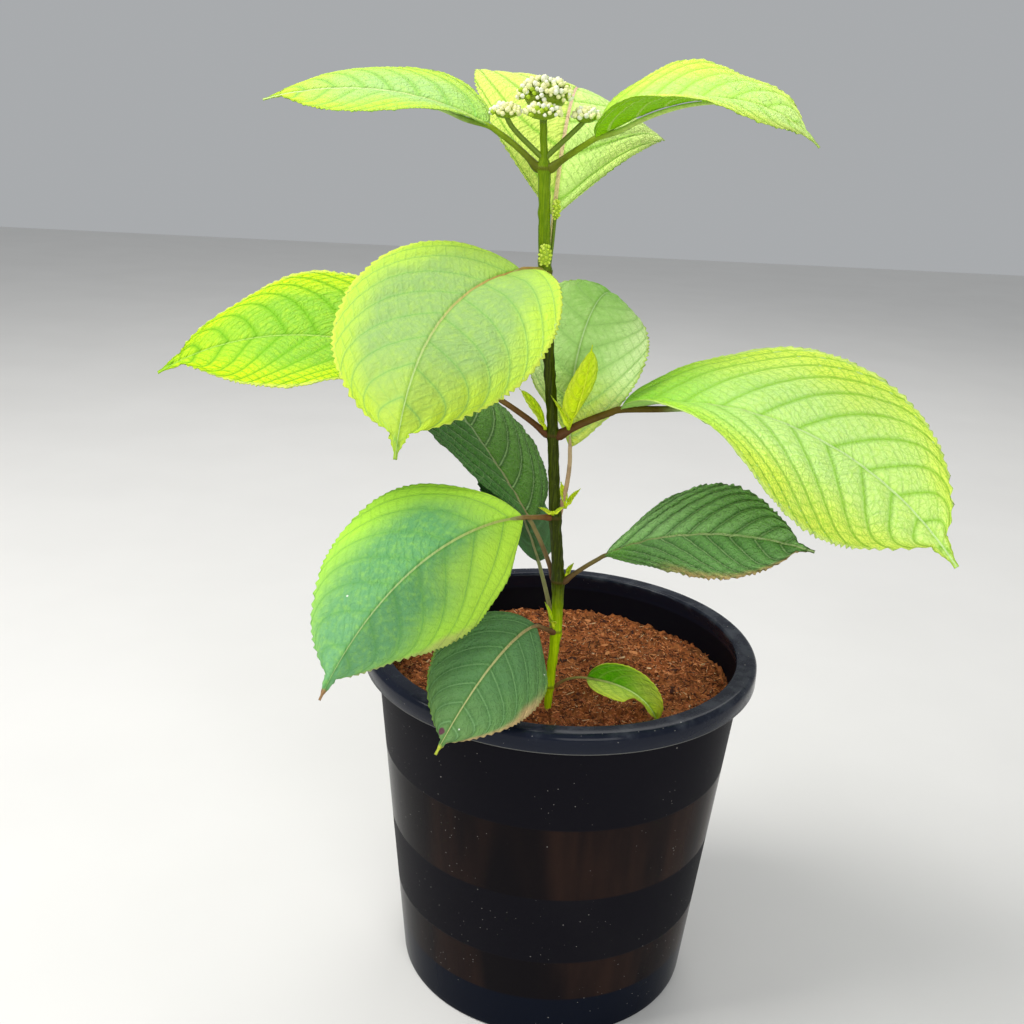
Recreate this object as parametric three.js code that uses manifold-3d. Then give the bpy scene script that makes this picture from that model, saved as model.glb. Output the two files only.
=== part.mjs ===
// A young hydrangea in a black nursery pot, in millimetres, +Z up, angles in degrees.
// The origin is the middle of the pot's flat underside. The front is -Y, and +X is to the right.
// One upright stem carries large leaves in crossed pairs at seven joints, small shoots in the axils
// and a flower head in tight bud at its tip. Pieces of the plant stand clear of each other by clearance.
import * as THREE from 'three';
import { mergeVertices } from 'three/addons/utils/BufferGeometryUtils.js';
import Module from 'manifold-3d';

const clearance = 0.35;

// Pot and soil
const pot = {
  height: 230,
  rimRadius: 125,
  mouthRadius: 112,
  shoulderRadius: 116.5,
  baseRadius: 95.5,
  wall: 1.8,
  floor: 2.2,
  lipDrop: 12,
  lipWall: 2.2,
  lipRound: 4,
  baseRound: 1.5,
  beadRadius: 2,
  beadDepth: 9,
  segments: 48,
};
const soil = {
  edgeHeight: 201,
  crown: 2.5,
  rings: 3,
};

// Stem, from a flat cut at soil level to the foot of the flower head
const stemDepth = -46;
const stemRise = [
  { name: 'foot', z: 203.4, x: -7.4, radius: 2.0 },
  { name: 'soil', z: 220, x: -7.1, radius: 2.6 },
  { name: 'foot2', z: 257, x: -5.3, radius: 3.2 },
  { name: 'base', z: 289, x: -5.9, radius: 3.6 },
  { name: 'low', z: 329, x: -9.9, radius: 3.4 },
  { name: 'mid', z: 378, x: -13.9, radius: 3.1 },
  { name: 'upper', z: 469, x: -23.5, radius: 3.4 },
  { name: 'top', z: 523, x: -26.8, radius: 3.2 },
  { name: 'neck', z: 529, x: -27.2, radius: 2.0 },
  { name: 'tip', z: 546, x: -28.5, radius: 1.9 },
];
const jointNames = ['soil', 'foot2', 'base', 'low', 'mid', 'upper', 'top'];
const joint = {
  swell: 0.6,
  length: 4,
};
const stemSteps = 40;
const stemSides = 10;

// Leaves. turn is the heading seen from above, 0 to the right and 90 to the back. The stalk leaves the stem
// at the elevation rise and bends by bow. The blade goes on from there and bends down by droop, which late
// shifts toward the tip, and sideways by sweep. roll and twist tilt it about its midrib. Its halves rise
// by fold, which changes by open toward the tip, and curve down by cup toward the margin.
const leafDefaults = {
  late: 1,
  girth: 3,
  shoulder: 0.64,
  taper: 0.8,
};
const leaves = {
  leafTopLeft: {
    joint: 'top', turn: 172, stalk: 34, rise: 45, bow: -18, girth: 3.8,
    length: 121, width: 79, droop: 44, late: 0.9, sweep: 22,
    roll: 13, twist: 10, fold: 21, open: -24, cup: 11,
  },
  leafTopRight: {
    joint: 'top', turn: -16, stalk: 29, rise: 38, bow: -6, girth: 3.8,
    length: 123, width: 80, droop: 79, late: 1.5, sweep: 1,
    roll: -9, twist: -11, fold: 34, open: -33, cup: 10, taper: 0.9,
  },
  leafUpperBack: {
    joint: 'upper', turn: 80, stalk: 33, rise: 36, bow: 40, girth: 3.2,
    length: 191, width: 122, droop: 120, sweep: 6,
    roll: -11, twist: -9, fold: 6, open: -11, cup: 18, shoulder: 1, taper: 0.6,
  },
  leafUpperFront: {
    joint: 'upper', turn: 232, stalk: 17, rise: 17, bow: -19, girth: 3.6,
    length: 165, width: 109, droop: 48, late: 1.1, sweep: 36,
    roll: 10, twist: 1, fold: 24, open: -53, cup: 6,
  },
  leafMidLeft: {
    joint: 'mid', turn: 169, stalk: 67, rise: 36, bow: -17, girth: 3.6,
    length: 175, width: 114, droop: 52, late: 1.3, sweep: 17,
    roll: 14, twist: 26, fold: 18, open: -16, cup: 9, taper: 0.97,
  },
  leafMidRight: {
    joint: 'mid', turn: -5, stalk: 38, rise: 34, bow: -14, girth: 4.6,
    length: 213, width: 144, droop: 70, late: 0.8, sweep: -23,
    roll: 9, twist: -65, fold: 18, open: -18, cup: 8,
  },
  leafLowFront: {
    joint: 'low', turn: 217, stalk: 20, rise: 11, bow: -3,
    length: 164, width: 105, droop: 62, late: 0.8, sweep: 16,
    roll: 49, twist: -2, fold: -16, open: -10, cup: 18,
  },
  leafLowBack: {
    joint: 'low', turn: 58, stalk: 41, rise: 54, bow: 46,
    length: 128, width: 78, droop: 129, late: 1.6, sweep: 13,
    roll: 12, twist: -42, fold: -14, open: 27, cup: 30, shoulder: 0.84, taper: 0.74,
  },
  leafBaseRight: {
    joint: 'base', turn: -14, stalk: 31, rise: 45, bow: -10,
    length: 121, width: 79, droop: 45, late: 0.8, sweep: -5,
    roll: 1, twist: -49, fold: 14, open: -9, cup: 10,
  },
  leafBaseLeft: {
    joint: 'base', turn: 135, stalk: 38, rise: 64, bow: -20,
    length: 164, width: 106, droop: 22, sweep: -1,
    roll: -20, twist: 10, fold: 13, open: -11, cup: 11,
  },
  leafFootFront: {
    joint: 'foot2', turn: 238, stalk: 23, rise: 31, bow: -4,
    length: 106, width: 70, droop: 72, late: 0.4, sweep: -4,
    roll: 38, twist: -27, fold: -7, open: -7, cup: 15,
  },
  leafFootBack: {
    joint: 'foot2', turn: 116, stalk: 42, rise: 62, bow: -16,
    length: 108, width: 62, droop: 34, late: 0.9, sweep: 0,
    roll: -24, twist: -6, fold: 8, open: -8, cup: 13,
  },
  leafSoilRight: {
    joint: 'soil', turn: -15, stalk: 22, rise: 50, bow: -50, girth: 1.8,
    length: 56, width: 36, droop: 80, late: 1.7, sweep: 5,
    roll: -58, twist: 8, fold: 50, open: 15, cup: 6,
  },
};
const blade = {
  axil: 3.5,
  thinness: 85,
  leastThickness: 0.9,
  drawnTip: 0.93,
  tipShare: 0.075,
  leastReach: 0.33,
  ribEnd: 0.85,
  crowding: 0.09,
  stalkSteps: 6,
  midribSteps: 48,
};
const rib = {
  marks: 9,
  sides: 5,
  thinning: 0.65,
};

// Small shoots in the axils. Each starts at a point beside its joint and has one or two young leaves.
const youngLeaf = {
  stalk: 2, bow: 0, droop: 15, sweep: 0, roll: 0, twist: 0, fold: 20, open: -20, cup: 10, girth: 1.6,
};
const shoots = {
  shootMidRight: {
    joint: 'mid', start: [8.4, -3, 5],
    leaves: [
      { turn: -38, rise: 68, stalk: 6, length: 42, width: 26, droop: -14 },
      { turn: 215, rise: 66, length: 21, width: 10, sweep: -30 },
    ],
  },
  shootMidLeft: {
    joint: 'mid', start: [-4.6, -1.5, 4],
    leaves: [
      { turn: 200, rise: 62, length: 27, width: 14, roll: 30 },
    ],
  },
  shootLowRight: {
    joint: 'low', start: [5.8, 5, 4.5],
    leaves: [
      { turn: 120, rise: 72, length: 13, width: 5 },
      { turn: 20, rise: 58, length: 12, width: 5 },
    ],
  },
  shootLowFront: {
    joint: 'low', start: [-1.6, -4.6, 3.4],
    leaves: [
      { turn: 190, rise: 32, stalk: 1, length: 8.5, width: 4 },
      { turn: 350, rise: 45, stalk: 1, length: 7.5, width: 4 },
    ],
  },
  shootBaseRight: {
    joint: 'base', start: [4.4, 0, 3.2],
    leaves: [
      { turn: 30, rise: 66, stalk: 1, length: 8, width: 4 },
    ],
  },
  shootFoot: {
    joint: 'foot2', start: [-1.6, -4.2, 3.4],
    leaves: [
      { turn: 170, rise: 76, stalk: 3, length: 14, width: 6 },
      { turn: 250, rise: 68, stalk: 2, length: 9, width: 5, droop: 60 },
    ],
  },
};
const fineness = {
  leaf: { stations: 12, halfColumns: 3, ribSteps: 10 },
  young: { stations: 5, halfColumns: 1, ribSteps: 4 },
};

// Flower head in bud: a broad middle dome with a lower one in front of it, and one on each side branch
const heads = {
  headMiddle: {
    joint: 'tip',
    domes: [
      {
        path: [[0, 0, -1], [0.4, 0, 10]], thick: [3.8, 5],
        at: [0.4, 0, 11], size: [13, 13, 11.5], buds: 38,
      },
      {
        path: [[0, 0, 1.5], [-0.5, -9, 3.5]], thick: [2.6, 3],
        at: [-0.5, -10, 5], size: [8.6, 7, 4.6], buds: 14,
      },
    ],
  },
  headLeft: {
    joint: 'neck',
    domes: [
      {
        path: [[-0.6, 0, -1], [-15.6, 0, 12], [-20.6, 0, 19]], thick: [3, 2.6],
        at: [-21, 0, 21], size: [7, 7, 4], buds: 15,
      },
    ],
  },
  headRight: {
    joint: 'neck',
    domes: [
      {
        path: [[0.6, 0, -1], [16.2, 0, 14.4], [19.8, 0, 18.6]], thick: [3, 2.6],
        at: [20.8, 0, 20.6], size: [6.6, 6.6, 4], buds: 15,
      },
    ],
  },
};
const flowerBuds = {
  shape: (radius) => new THREE.IcosahedronGeometry(radius),
  radius: 1.35,
  lowest: -0.45,
};

// Knobbly bud clusters beside the upper joint
const clusters = {
  budUpper: {
    joint: 'upper', path: [[2.6, 4.2, 3], [3.4, 3.4, 14], [3.9, 0.6, 27]], thick: [1.6, 2],
    at: [4.4, 0, 33], size: [1.9, 1.9, 5.2], buds: 12,
  },
  budFront: {
    joint: 'upper', path: [[0, -3, 3], [-0.2, -7, 8]], thick: [2, 3],
    at: [-0.4, -6.9, 9.5], size: [3.2, 2, 5.8], buds: 14,
  },
};
const knobs = {
  shape: (radius) => new THREE.OctahedronGeometry(radius),
  radius: 1.15,
  lowest: -0.9,
};
const dome = {
  meridians: 8,
  parallels: 6,
  stalkSteps: 5,
  stalkSides: 6,
};

const colours = {
  pot: 0x1b1c1f,
  soil: 0x5a2f1c,
  stem: 0x6f8a1c,
  paleLeaf: 0xbfdc6a,
  limeLeaf: 0xc9dd3c,
  freshLeaf: 0x8fbf4a,
  darkLeaf: 0x4f7f4a,
  shoot: 0xb9cf3a,
  flower: 0xe9ecc2,
};
const leafColour = {
  leafTopLeft: colours.paleLeaf,
  leafTopRight: colours.limeLeaf,
  leafUpperBack: colours.paleLeaf,
  leafUpperFront: colours.paleLeaf,
  leafMidLeft: colours.limeLeaf,
  leafMidRight: colours.limeLeaf,
  leafLowFront: colours.freshLeaf,
  leafLowBack: colours.freshLeaf,
  leafBaseRight: colours.darkLeaf,
  leafBaseLeft: colours.darkLeaf,
  leafFootFront: colours.darkLeaf,
  leafFootBack: colours.darkLeaf,
  leafSoilRight: colours.freshLeaf,
};
const roughness = {
  pot: 0.45,
  soil: 0.95,
  stem: 0.55,
  leaf: 0.5,
  flower: 0.7,
};

const wasm = await Module();
wasm.setup();
const radians = THREE.MathUtils.degToRad;
const goldenAngle = Math.PI * (3 - Math.sqrt(5));

// Solids from geometries and back
function toSolid(geometry) {
  const bare = new THREE.BufferGeometry();
  bare.setAttribute('position', geometry.getAttribute('position'));
  bare.setIndex(geometry.index);
  const merged = mergeVertices(bare, 1e-4);
  const corners = merged.index.array;
  const triangles = [];
  for (let i = 0; i < corners.length; i += 3) {
    const [a, b, c] = corners.slice(i, i + 3);
    if (a !== b && b !== c && c !== a) triangles.push(a, b, c);
  }
  const make = (triVerts) => new wasm.Manifold(new wasm.Mesh({
    numProp: 3,
    vertProperties: merged.getAttribute('position').array,
    triVerts: new Uint32Array(triVerts),
  }));
  const solid = make(triangles);
  return solid.volume() > 0 ? solid : make(triangles.reverse());
}

function join(solids) {
  return solids.reduce((whole, solid) => whole.add(solid));
}

function largestPiece(solid) {
  const pieces = solid.decompose();
  return pieces.reduce((best, piece) => (piece.volume() > best.volume() ? piece : best));
}

function toMesh(name, solid, colour, rough) {
  const { vertProperties, triVerts } = solid.getMesh();
  const geometry = new THREE.BufferGeometry();
  geometry.setAttribute('position', new THREE.BufferAttribute(vertProperties, 3));
  geometry.setIndex(new THREE.BufferAttribute(triVerts, 1));
  geometry.computeVertexNormals();
  const material = new THREE.MeshStandardMaterial({ color: colour, roughness: rough, metalness: 0 });
  const mesh = new THREE.Mesh(geometry, material);
  mesh.name = name;
  return mesh;
}

// A closed skin through rings of points, with both ends shut by a ladder of faces
function loft(rings) {
  const count = rings[0].length;
  const last = (rings.length - 1) * count;
  const index = [];
  for (let start = 0; start < last; start += count) {
    for (let j = 0; j < count; j += 1) {
      const a = start + j;
      const b = start + ((j + 1) % count);
      index.push(a, b, b + count, a, b + count, a + count);
    }
  }
  for (let j = 0; j < count / 2 - 1; j += 1) {
    const k = count - 1 - j;
    index.push(j, k, k - 1, j, k - 1, j + 1);
    index.push(last + j, last + k - 1, last + k, last + j, last + j + 1, last + k - 1);
  }
  const positions = rings.flat().flatMap((point) => point.toArray());
  const geometry = new THREE.BufferGeometry();
  geometry.setAttribute('position', new THREE.Float32BufferAttribute(positions, 3));
  geometry.setIndex(index);
  return toSolid(geometry);
}

// A tapering limb along a smooth curve through the points
function limb(points, radiusAt, steps, sides) {
  const curve = new THREE.CatmullRomCurve3(points, false, 'centripetal');
  const frames = curve.computeFrenetFrames(steps, false);
  const rings = [];
  for (let i = 0; i <= steps; i += 1) {
    const centre = curve.getPointAt(i / steps);
    const radius = radiusAt(i / steps, centre);
    const ring = [];
    for (let j = 0; j < sides; j += 1) {
      const angle = (2 * Math.PI * j) / sides;
      ring.push(centre.clone()
        .addScaledVector(frames.normals[i], radius * Math.cos(angle))
        .addScaledVector(frames.binormals[i], radius * Math.sin(angle)));
    }
    rings.push(ring);
  }
  return loft(rings);
}

const taper = ([first, last]) => (share) => (first + (last - first) * share) / 2;

// Pot and soil
const wallRadius = (z) => (
  pot.baseRadius + (pot.shoulderRadius - pot.baseRadius) * z / (pot.height - pot.lipDrop)
);

function arc(centreRadius, centreZ, radius, from, to, steps) {
  const points = [];
  for (let i = 0; i <= steps; i += 1) {
    const angle = radians(from + (to - from) * i / steps);
    const out = new THREE.Vector2(Math.cos(angle), Math.sin(angle)).multiplyScalar(radius);
    points.push(out.add(new THREE.Vector2(centreRadius, centreZ)));
  }
  return points;
}

const turned = (profile) => toSolid(new THREE.LatheGeometry(profile, pot.segments).rotateX(Math.PI / 2));

function potSolid() {
  const { height, rimRadius, mouthRadius, wall, floor, lipDrop, lipWall, lipRound, baseRound } = pot;
  const { beadRadius, beadDepth } = pot;
  const underLip = height - lipWall;
  const innerRound = lipRound - lipWall;
  const profile = [
    new THREE.Vector2(0, 0),
    ...arc(wallRadius(0) - baseRound, baseRound, baseRound, -90, 0, 2),
    new THREE.Vector2(wallRadius(underLip), underLip),
    ...arc(rimRadius - lipRound, height - lipRound, innerRound, 90, 0, 2),
    new THREE.Vector2(rimRadius - lipWall, height - lipDrop),
    new THREE.Vector2(rimRadius, height - lipDrop),
    ...arc(rimRadius - lipRound, height - lipRound, lipRound, 0, 90, 3),
    ...arc(mouthRadius + beadRadius, height - beadRadius, beadRadius, 90, 180, 2),
    new THREE.Vector2(wallRadius(height - beadDepth) - wall, height - beadDepth),
    new THREE.Vector2(wallRadius(floor) - wall, floor),
    new THREE.Vector2(0, floor),
  ];
  return turned(profile);
}

function soilSolid() {
  const bottom = pot.floor + clearance;
  const edge = wallRadius(soil.edgeHeight) - pot.wall - clearance;
  const profile = [
    new THREE.Vector2(0, bottom),
    new THREE.Vector2(wallRadius(bottom) - pot.wall - clearance, bottom),
  ];
  for (let i = soil.rings; i >= 0; i -= 1) {
    const share = i / soil.rings;
    profile.push(new THREE.Vector2(edge * share, soil.edgeHeight + soil.crown * (1 - share * share)));
  }
  return turned(profile);
}

// Stem
const station = Object.fromEntries(stemRise.map((entry) => [entry.name, entry]));
const stemPoint = ({ x, z }) => new THREE.Vector3(x, stemDepth, z);

function stemRadius(z) {
  const above = Math.max(1, stemRise.findIndex((entry) => entry.z >= z));
  const [low, high] = [stemRise[above - 1], stemRise[above]];
  const share = THREE.MathUtils.clamp((z - low.z) / (high.z - low.z), 0, 1);
  const plain = low.radius + (high.radius - low.radius) * share;
  const bumps = jointNames.map((name) => Math.exp(-(((z - station[name].z) / joint.length) ** 2)));
  return plain + joint.swell * Math.max(...bumps);
}

function stemSolid(extra) {
  const points = stemRise.map(stemPoint);
  points[0].z -= extra;
  points.at(-1).z += extra;
  return limb(points, (share, centre) => stemRadius(centre.z) + extra, stemSteps, stemSides);
}

// Leaves
function heading(elevation, turn) {
  const flat = Math.cos(elevation);
  return new THREE.Vector3(flat * Math.cos(turn), flat * Math.sin(turn), Math.sin(elevation));
}

function stalkPoints(leaf, start) {
  const points = [start];
  for (let i = 0; i < blade.stalkSteps; i += 1) {
    const elevation = radians(leaf.rise + leaf.bow * (i + 0.5) / blade.stalkSteps);
    const step = heading(elevation, radians(leaf.turn)).multiplyScalar(leaf.stalk / blade.stalkSteps);
    points.push(points[i].clone().add(step));
  }
  return points;
}

function midribFrame(leaf, share) {
  const elevation = radians(leaf.rise + leaf.bow - leaf.droop * share ** leaf.late);
  const turn = radians(leaf.turn + leaf.sweep * share);
  const ahead = heading(elevation, turn);
  const upright = heading(elevation + Math.PI / 2, turn);
  const level = ahead.clone().cross(upright);
  const roll = radians(leaf.roll + leaf.twist * share);
  return {
    ahead,
    side: level.clone().multiplyScalar(Math.cos(roll)).addScaledVector(upright, Math.sin(roll)),
    up: upright.clone().multiplyScalar(Math.cos(roll)).addScaledVector(level, -Math.sin(roll)),
  };
}

function midribPoints(leaf, start) {
  const points = [start];
  for (let i = 0; i < blade.midribSteps; i += 1) {
    const { ahead } = midribFrame(leaf, (i + 0.5) / blade.midribSteps);
    points.push(points[i].clone().addScaledVector(ahead, leaf.length / blade.midribSteps));
  }
  return points;
}

function halfWidth(leaf, share) {
  const { shoulder, taper: point } = leaf;
  const along = Math.min(share / blade.drawnTip, 1);
  const widest = shoulder / (shoulder + point);
  const body = (along ** shoulder * (1 - along) ** point) / (widest ** shoulder * (1 - widest) ** point);
  const drawn = blade.tipShare * Math.min(1, (1 - share) / (1 - blade.drawnTip));
  return (leaf.width / 2) * Math.max(body, share > widest ? drawn : 0);
}

// A point on the blade's middle surface, and which way is up there, from shares of length and half width
function bladePoint(leaf, midrib, share, across) {
  const frame = midribFrame(leaf, share);
  const place = share * blade.midribSteps;
  const before = Math.min(Math.floor(place), blade.midribSteps - 1);
  const centre = midrib[before].clone().lerp(midrib[before + 1], place - before);
  const fold = radians(leaf.fold + leaf.open * share);
  const cup = radians(leaf.cup);
  const outward = Math.abs(across);
  const slope = fold - cup * outward;
  const reach = Math.max(halfWidth(leaf, share), leaf.girth * blade.leastReach);
  const sideways = Math.sign(across) * reach * (Math.sin(fold) - Math.sin(slope)) / cup;
  const lifted = reach * (Math.cos(slope) - Math.cos(fold)) / cup;
  const tilt = across === 0 ? 0 : Math.sign(across) * slope;
  return {
    point: centre.addScaledVector(frame.side, sideways).addScaledVector(frame.up, lifted),
    up: frame.up.multiplyScalar(Math.cos(tilt)).addScaledVector(frame.side, -Math.sin(tilt)),
  };
}

function bladeSolid(leaf, midrib, fine) {
  const half = Math.max(leaf.length / blade.thinness, blade.leastThickness) / 2;
  const rings = [];
  for (let i = 0; i <= fine.stations; i += 1) {
    const even = i / fine.stations;
    const share = even - blade.crowding * Math.sin(2 * Math.PI * even);
    const above = [];
    const below = [];
    for (let j = -fine.halfColumns; j <= fine.halfColumns; j += 1) {
      const { point, up } = bladePoint(leaf, midrib, share, j / fine.halfColumns);
      above.push(point.clone().addScaledVector(up, half));
      below.unshift(point.clone().addScaledVector(up, -half));
    }
    rings.push([...above, ...below]);
  }
  return loft(rings);
}

// The stalk, going on as a rib under the blade's midline
function ribSolid(leaf, stalk, midrib, root, fine, extra) {
  const radiusAt = (share) => (leaf.girth / 2) * (1 - rib.thinning * share);
  const points = [root, ...stalk];
  for (let i = 1; i <= rib.marks; i += 1) {
    const share = (blade.ribEnd * i) / rib.marks;
    const { up } = midribFrame(leaf, share);
    const place = Math.round(share * blade.midribSteps);
    points.push(midrib[place].clone().addScaledVector(up, -radiusAt(share)));
  }
  return limb(points, (share) => radiusAt(share) + extra, fine.ribSteps, rib.sides);
}

function leafParts(spec, start, root, fine) {
  const leaf = { ...leafDefaults, ...spec };
  const stalk = stalkPoints(leaf, start);
  const midrib = midribPoints(leaf, stalk.at(-1));
  return join([bladeSolid(leaf, midrib, fine), ribSolid(leaf, stalk, midrib, root, fine, 0)]);
}

function stalkStart(spec) {
  return stemPoint(station[spec.joint]).addScaledVector(heading(0, radians(spec.turn)), blade.axil);
}

const leafOnStem = (spec) => (
  leafParts(spec, stalkStart(spec), stemPoint(station[spec.joint]), fineness.leaf)
);

// The stalk and rib alone, made thicker to cut their neighbours clear of them
function stalkRoom(spec) {
  const leaf = { ...leafDefaults, ...spec };
  const centre = stemPoint(station[leaf.joint]);
  const stalk = stalkPoints(leaf, stalkStart(leaf));
  const midrib = midribPoints(leaf, stalk.at(-1));
  return ribSolid(leaf, stalk, midrib, centre, fineness.leaf, clearance / Math.cos(Math.PI / rib.sides));
}

// Shoots, flower heads and bud clusters
const offset = (base, [x, y, z]) => base.clone().add(new THREE.Vector3(x, y, z));

function shootSolid(shoot) {
  const start = offset(stemPoint(station[shoot.joint]), shoot.start);
  const root = offset(start, [0, 0, -1]);
  return join(shoot.leaves.map((young) => (
    leafParts({ ...youngLeaf, ...young }, start, root, fineness.young)
  )));
}

// A dome on its stalk, with small buds spread evenly over it from the top down
function domeSolid(base, spec, buds) {
  const size = new THREE.Vector3(...spec.size);
  const middle = offset(base, spec.at);
  const core = new THREE.SphereGeometry(1, dome.meridians, dome.parallels);
  core.rotateX(Math.PI / 2);
  core.scale(...size.toArray());
  core.translate(...middle.toArray());
  const path = [...spec.path.map((step) => offset(base, step)), middle];
  const solids = [toSolid(core), limb(path, taper(spec.thick), dome.stalkSteps, dome.stalkSides)];
  for (let i = 0; i < spec.buds; i += 1) {
    const height = 1 - (1 - buds.lowest) * (i + 0.5) / spec.buds;
    const spread = Math.sqrt(1 - height * height);
    const angle = i * goldenAngle;
    const bud = buds.shape(buds.radius);
    bud.rotateZ(angle);
    bud.translate(spread * Math.cos(angle) * size.x, spread * Math.sin(angle) * size.y, height * size.z);
    bud.translate(...middle.toArray());
    solids.push(toSolid(bud));
  }
  return join(solids);
}

function headSolid(head) {
  const base = stemPoint(station[head.joint]);
  return join(head.domes.map((spec) => domeSolid(base, spec, flowerBuds)));
}

function clusterSolid(cluster) {
  return domeSolid(stemPoint(station[cluster.joint]), cluster, knobs);
}

// The whole plant, each piece cut clear of the stem and of the stalks beside it
const stemRoom = stemSolid(clearance / Math.cos(Math.PI / stemSides));
const stalkRooms = join(Object.values(leaves).map(stalkRoom));
const plant = new THREE.Group();
plant.add(toMesh('stem', stemSolid(0), colours.stem, roughness.stem));
for (const [name, spec] of Object.entries(leaves)) {
  const solid = largestPiece(leafOnStem(spec).subtract(stemRoom));
  plant.add(toMesh(name, solid, leafColour[name], roughness.leaf));
}
const smallPieces = [
  ...Object.entries(shoots).map(([name, spec]) => [name, shootSolid(spec), colours.shoot, roughness.leaf]),
  ...Object.entries(heads).map(([name, spec]) => [name, headSolid(spec), colours.flower, roughness.flower]),
  ...Object.entries(clusters).map(([name, spec]) => [name, clusterSolid(spec), colours.shoot, roughness.leaf]),
];
for (const [name, solid, colour, rough] of smallPieces) {
  const cleared = largestPiece(solid.subtract(stemRoom).subtract(stalkRooms));
  plant.add(toMesh(name, cleared, colour, rough));
}

const container = new THREE.Group();
container.add(toMesh('pot', potSolid(), colours.pot, roughness.pot));
container.add(toMesh('soil', soilSolid(), colours.soil, roughness.soil));

const hydrangea = new THREE.Group();
hydrangea.add(container, plant);

export default hydrangea;
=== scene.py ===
import bpy
import math
import numpy as np
from mathutils import Matrix, Vector
from types import SimpleNamespace


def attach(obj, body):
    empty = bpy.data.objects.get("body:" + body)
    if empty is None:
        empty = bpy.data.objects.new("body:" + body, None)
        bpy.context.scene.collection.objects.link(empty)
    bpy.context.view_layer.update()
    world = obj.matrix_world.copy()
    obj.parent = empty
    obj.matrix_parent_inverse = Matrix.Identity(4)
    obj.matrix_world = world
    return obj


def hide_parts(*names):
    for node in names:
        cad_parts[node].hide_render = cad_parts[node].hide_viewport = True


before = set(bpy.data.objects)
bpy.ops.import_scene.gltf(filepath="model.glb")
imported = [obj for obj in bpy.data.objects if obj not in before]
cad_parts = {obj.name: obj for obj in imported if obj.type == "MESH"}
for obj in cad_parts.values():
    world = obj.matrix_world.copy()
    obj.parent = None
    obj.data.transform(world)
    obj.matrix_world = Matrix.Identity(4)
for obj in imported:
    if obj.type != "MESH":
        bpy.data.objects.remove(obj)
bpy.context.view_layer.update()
print("frame loaded")

mm = 0.001
goldenAngle = math.pi * (3 - math.sqrt(5))
rad = np.radians


# Shader helpers

socketNames = {
    "baseColor": "Base Color", "roughness": "Roughness", "normal": "Normal", "specular": "Specular IOR Level",
    "coat": "Coat Weight", "coatRoughness": "Coat Roughness",
}


def operator(name, swap=False):
    return lambda self, other: self.math(name, other, swap=swap)


class Wire:
    __add__ = __radd__ = operator("ADD")
    __mul__ = __rmul__ = operator("MULTIPLY")
    __sub__ = operator("SUBTRACT")
    __rsub__ = operator("SUBTRACT", swap=True)
    __pow__ = operator("POWER")

    def __init__(self, graph, socket):
        self.graph = graph
        self.socket = socket

    def math(self, operation, *others, swap=False, clamp=False):
        values = [*others, self] if swap else [self, *others]
        return self.graph.node("ShaderNodeMath", {"operation": operation, "use_clamp": clamp}, values)

    def __neg__(self):
        return self * -1

    def abs(self):
        return self.math("ABSOLUTE")

    def clip(self):
        return self.math("ADD", 0, clamp=True)

    def ramp(self, start, end):    # a smooth step from 0 at start to 1 at end
        settings = {"interpolation_type": "SMOOTHSTEP"}
        return self.graph.node("ShaderNodeMapRange", settings, [self, start, end])


class Graph:
    def __init__(self, name):
        self.material = bpy.data.materials.new(name)
        self.material.use_nodes = True
        self.tree = self.material.node_tree
        self.tree.nodes.clear()
        self.shader = self.tree.nodes.new("ShaderNodeBsdfPrincipled")
        output = self.tree.nodes.new("ShaderNodeOutputMaterial")
        self.tree.links.new(self.shader.outputs[0], output.inputs[0])

    def put(self, socket, value):
        if isinstance(value, Wire):
            self.tree.links.new(value.socket, socket)
        elif socket.type == "RGBA":
            socket.default_value = (*value[:3], 1)
        else:
            socket.default_value = value

    def node(self, kind, settings, inputs=(), output=0):
        made = self.tree.nodes.new(kind)
        for key, value in settings.items():
            setattr(made, key, value)
        pairs = inputs.items() if isinstance(inputs, dict) else enumerate(inputs)
        for key, value in pairs:
            self.put(made.inputs[key], value)
        return Wire(self, made.outputs[output])

    def mix(self, share, first, second, blend="MIX"):    # colours
        settings = {"data_type": "RGBA", "blend_type": blend}
        return self.node("ShaderNodeMix", settings, {0: share, 6: first, 7: second}, 2)

    def coats(self, colour, *layers):    # each layer is a share, its colour and perhaps a way to blend
        for share, over, *blend in layers:
            colour = self.mix(share, colour, over, *blend)
        return colour

    def coordinates(self):
        return self.node("ShaderNodeTexCoord", {}, output="Object")

    def attribute(self, name):
        return self.node("ShaderNodeAttribute", {"attribute_name": name}, output="Vector")

    def split(self, vector):
        first = self.node("ShaderNodeSeparateXYZ", {}, (vector,))
        return [Wire(self, socket) for socket in first.socket.node.outputs]

    def vector(self, x, y, z):
        return self.node("ShaderNodeCombineXYZ", {}, (x, y, z))

    def noise(self, where, scale, detail=3, roughness=0.5):
        inputs = {"Vector": where, "Scale": scale, "Detail": detail, "Roughness": roughness}
        return self.node("ShaderNodeTexNoise", {}, inputs, "Fac")

    def cells(self, where, scale, feature="F1"):
        inputs = {"Vector": where, "Scale": scale}
        return self.node("ShaderNodeTexVoronoi", {"feature": feature}, inputs, "Distance")

    def bump(self, height, distance, strength):
        inputs = {"Height": height, "Distance": distance, "Strength": strength}
        return self.node("ShaderNodeBump", {}, inputs)

    def finish(self, **sockets):
        for key, value in sockets.items():
            self.put(self.shader.inputs[socketNames[key]], value)
        return self.material


def grainMaterial(name, dark, pale, scale, roughness):
    graph = Graph(name)
    grain = graph.noise(graph.coordinates(), scale)
    return graph.finish(baseColor=graph.mix(grain, dark, pale), roughness=roughness)


# Mesh helpers

def addObject(name, data):
    made = bpy.data.objects.new(name, data)
    bpy.context.scene.collection.objects.link(made)
    return made


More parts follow.
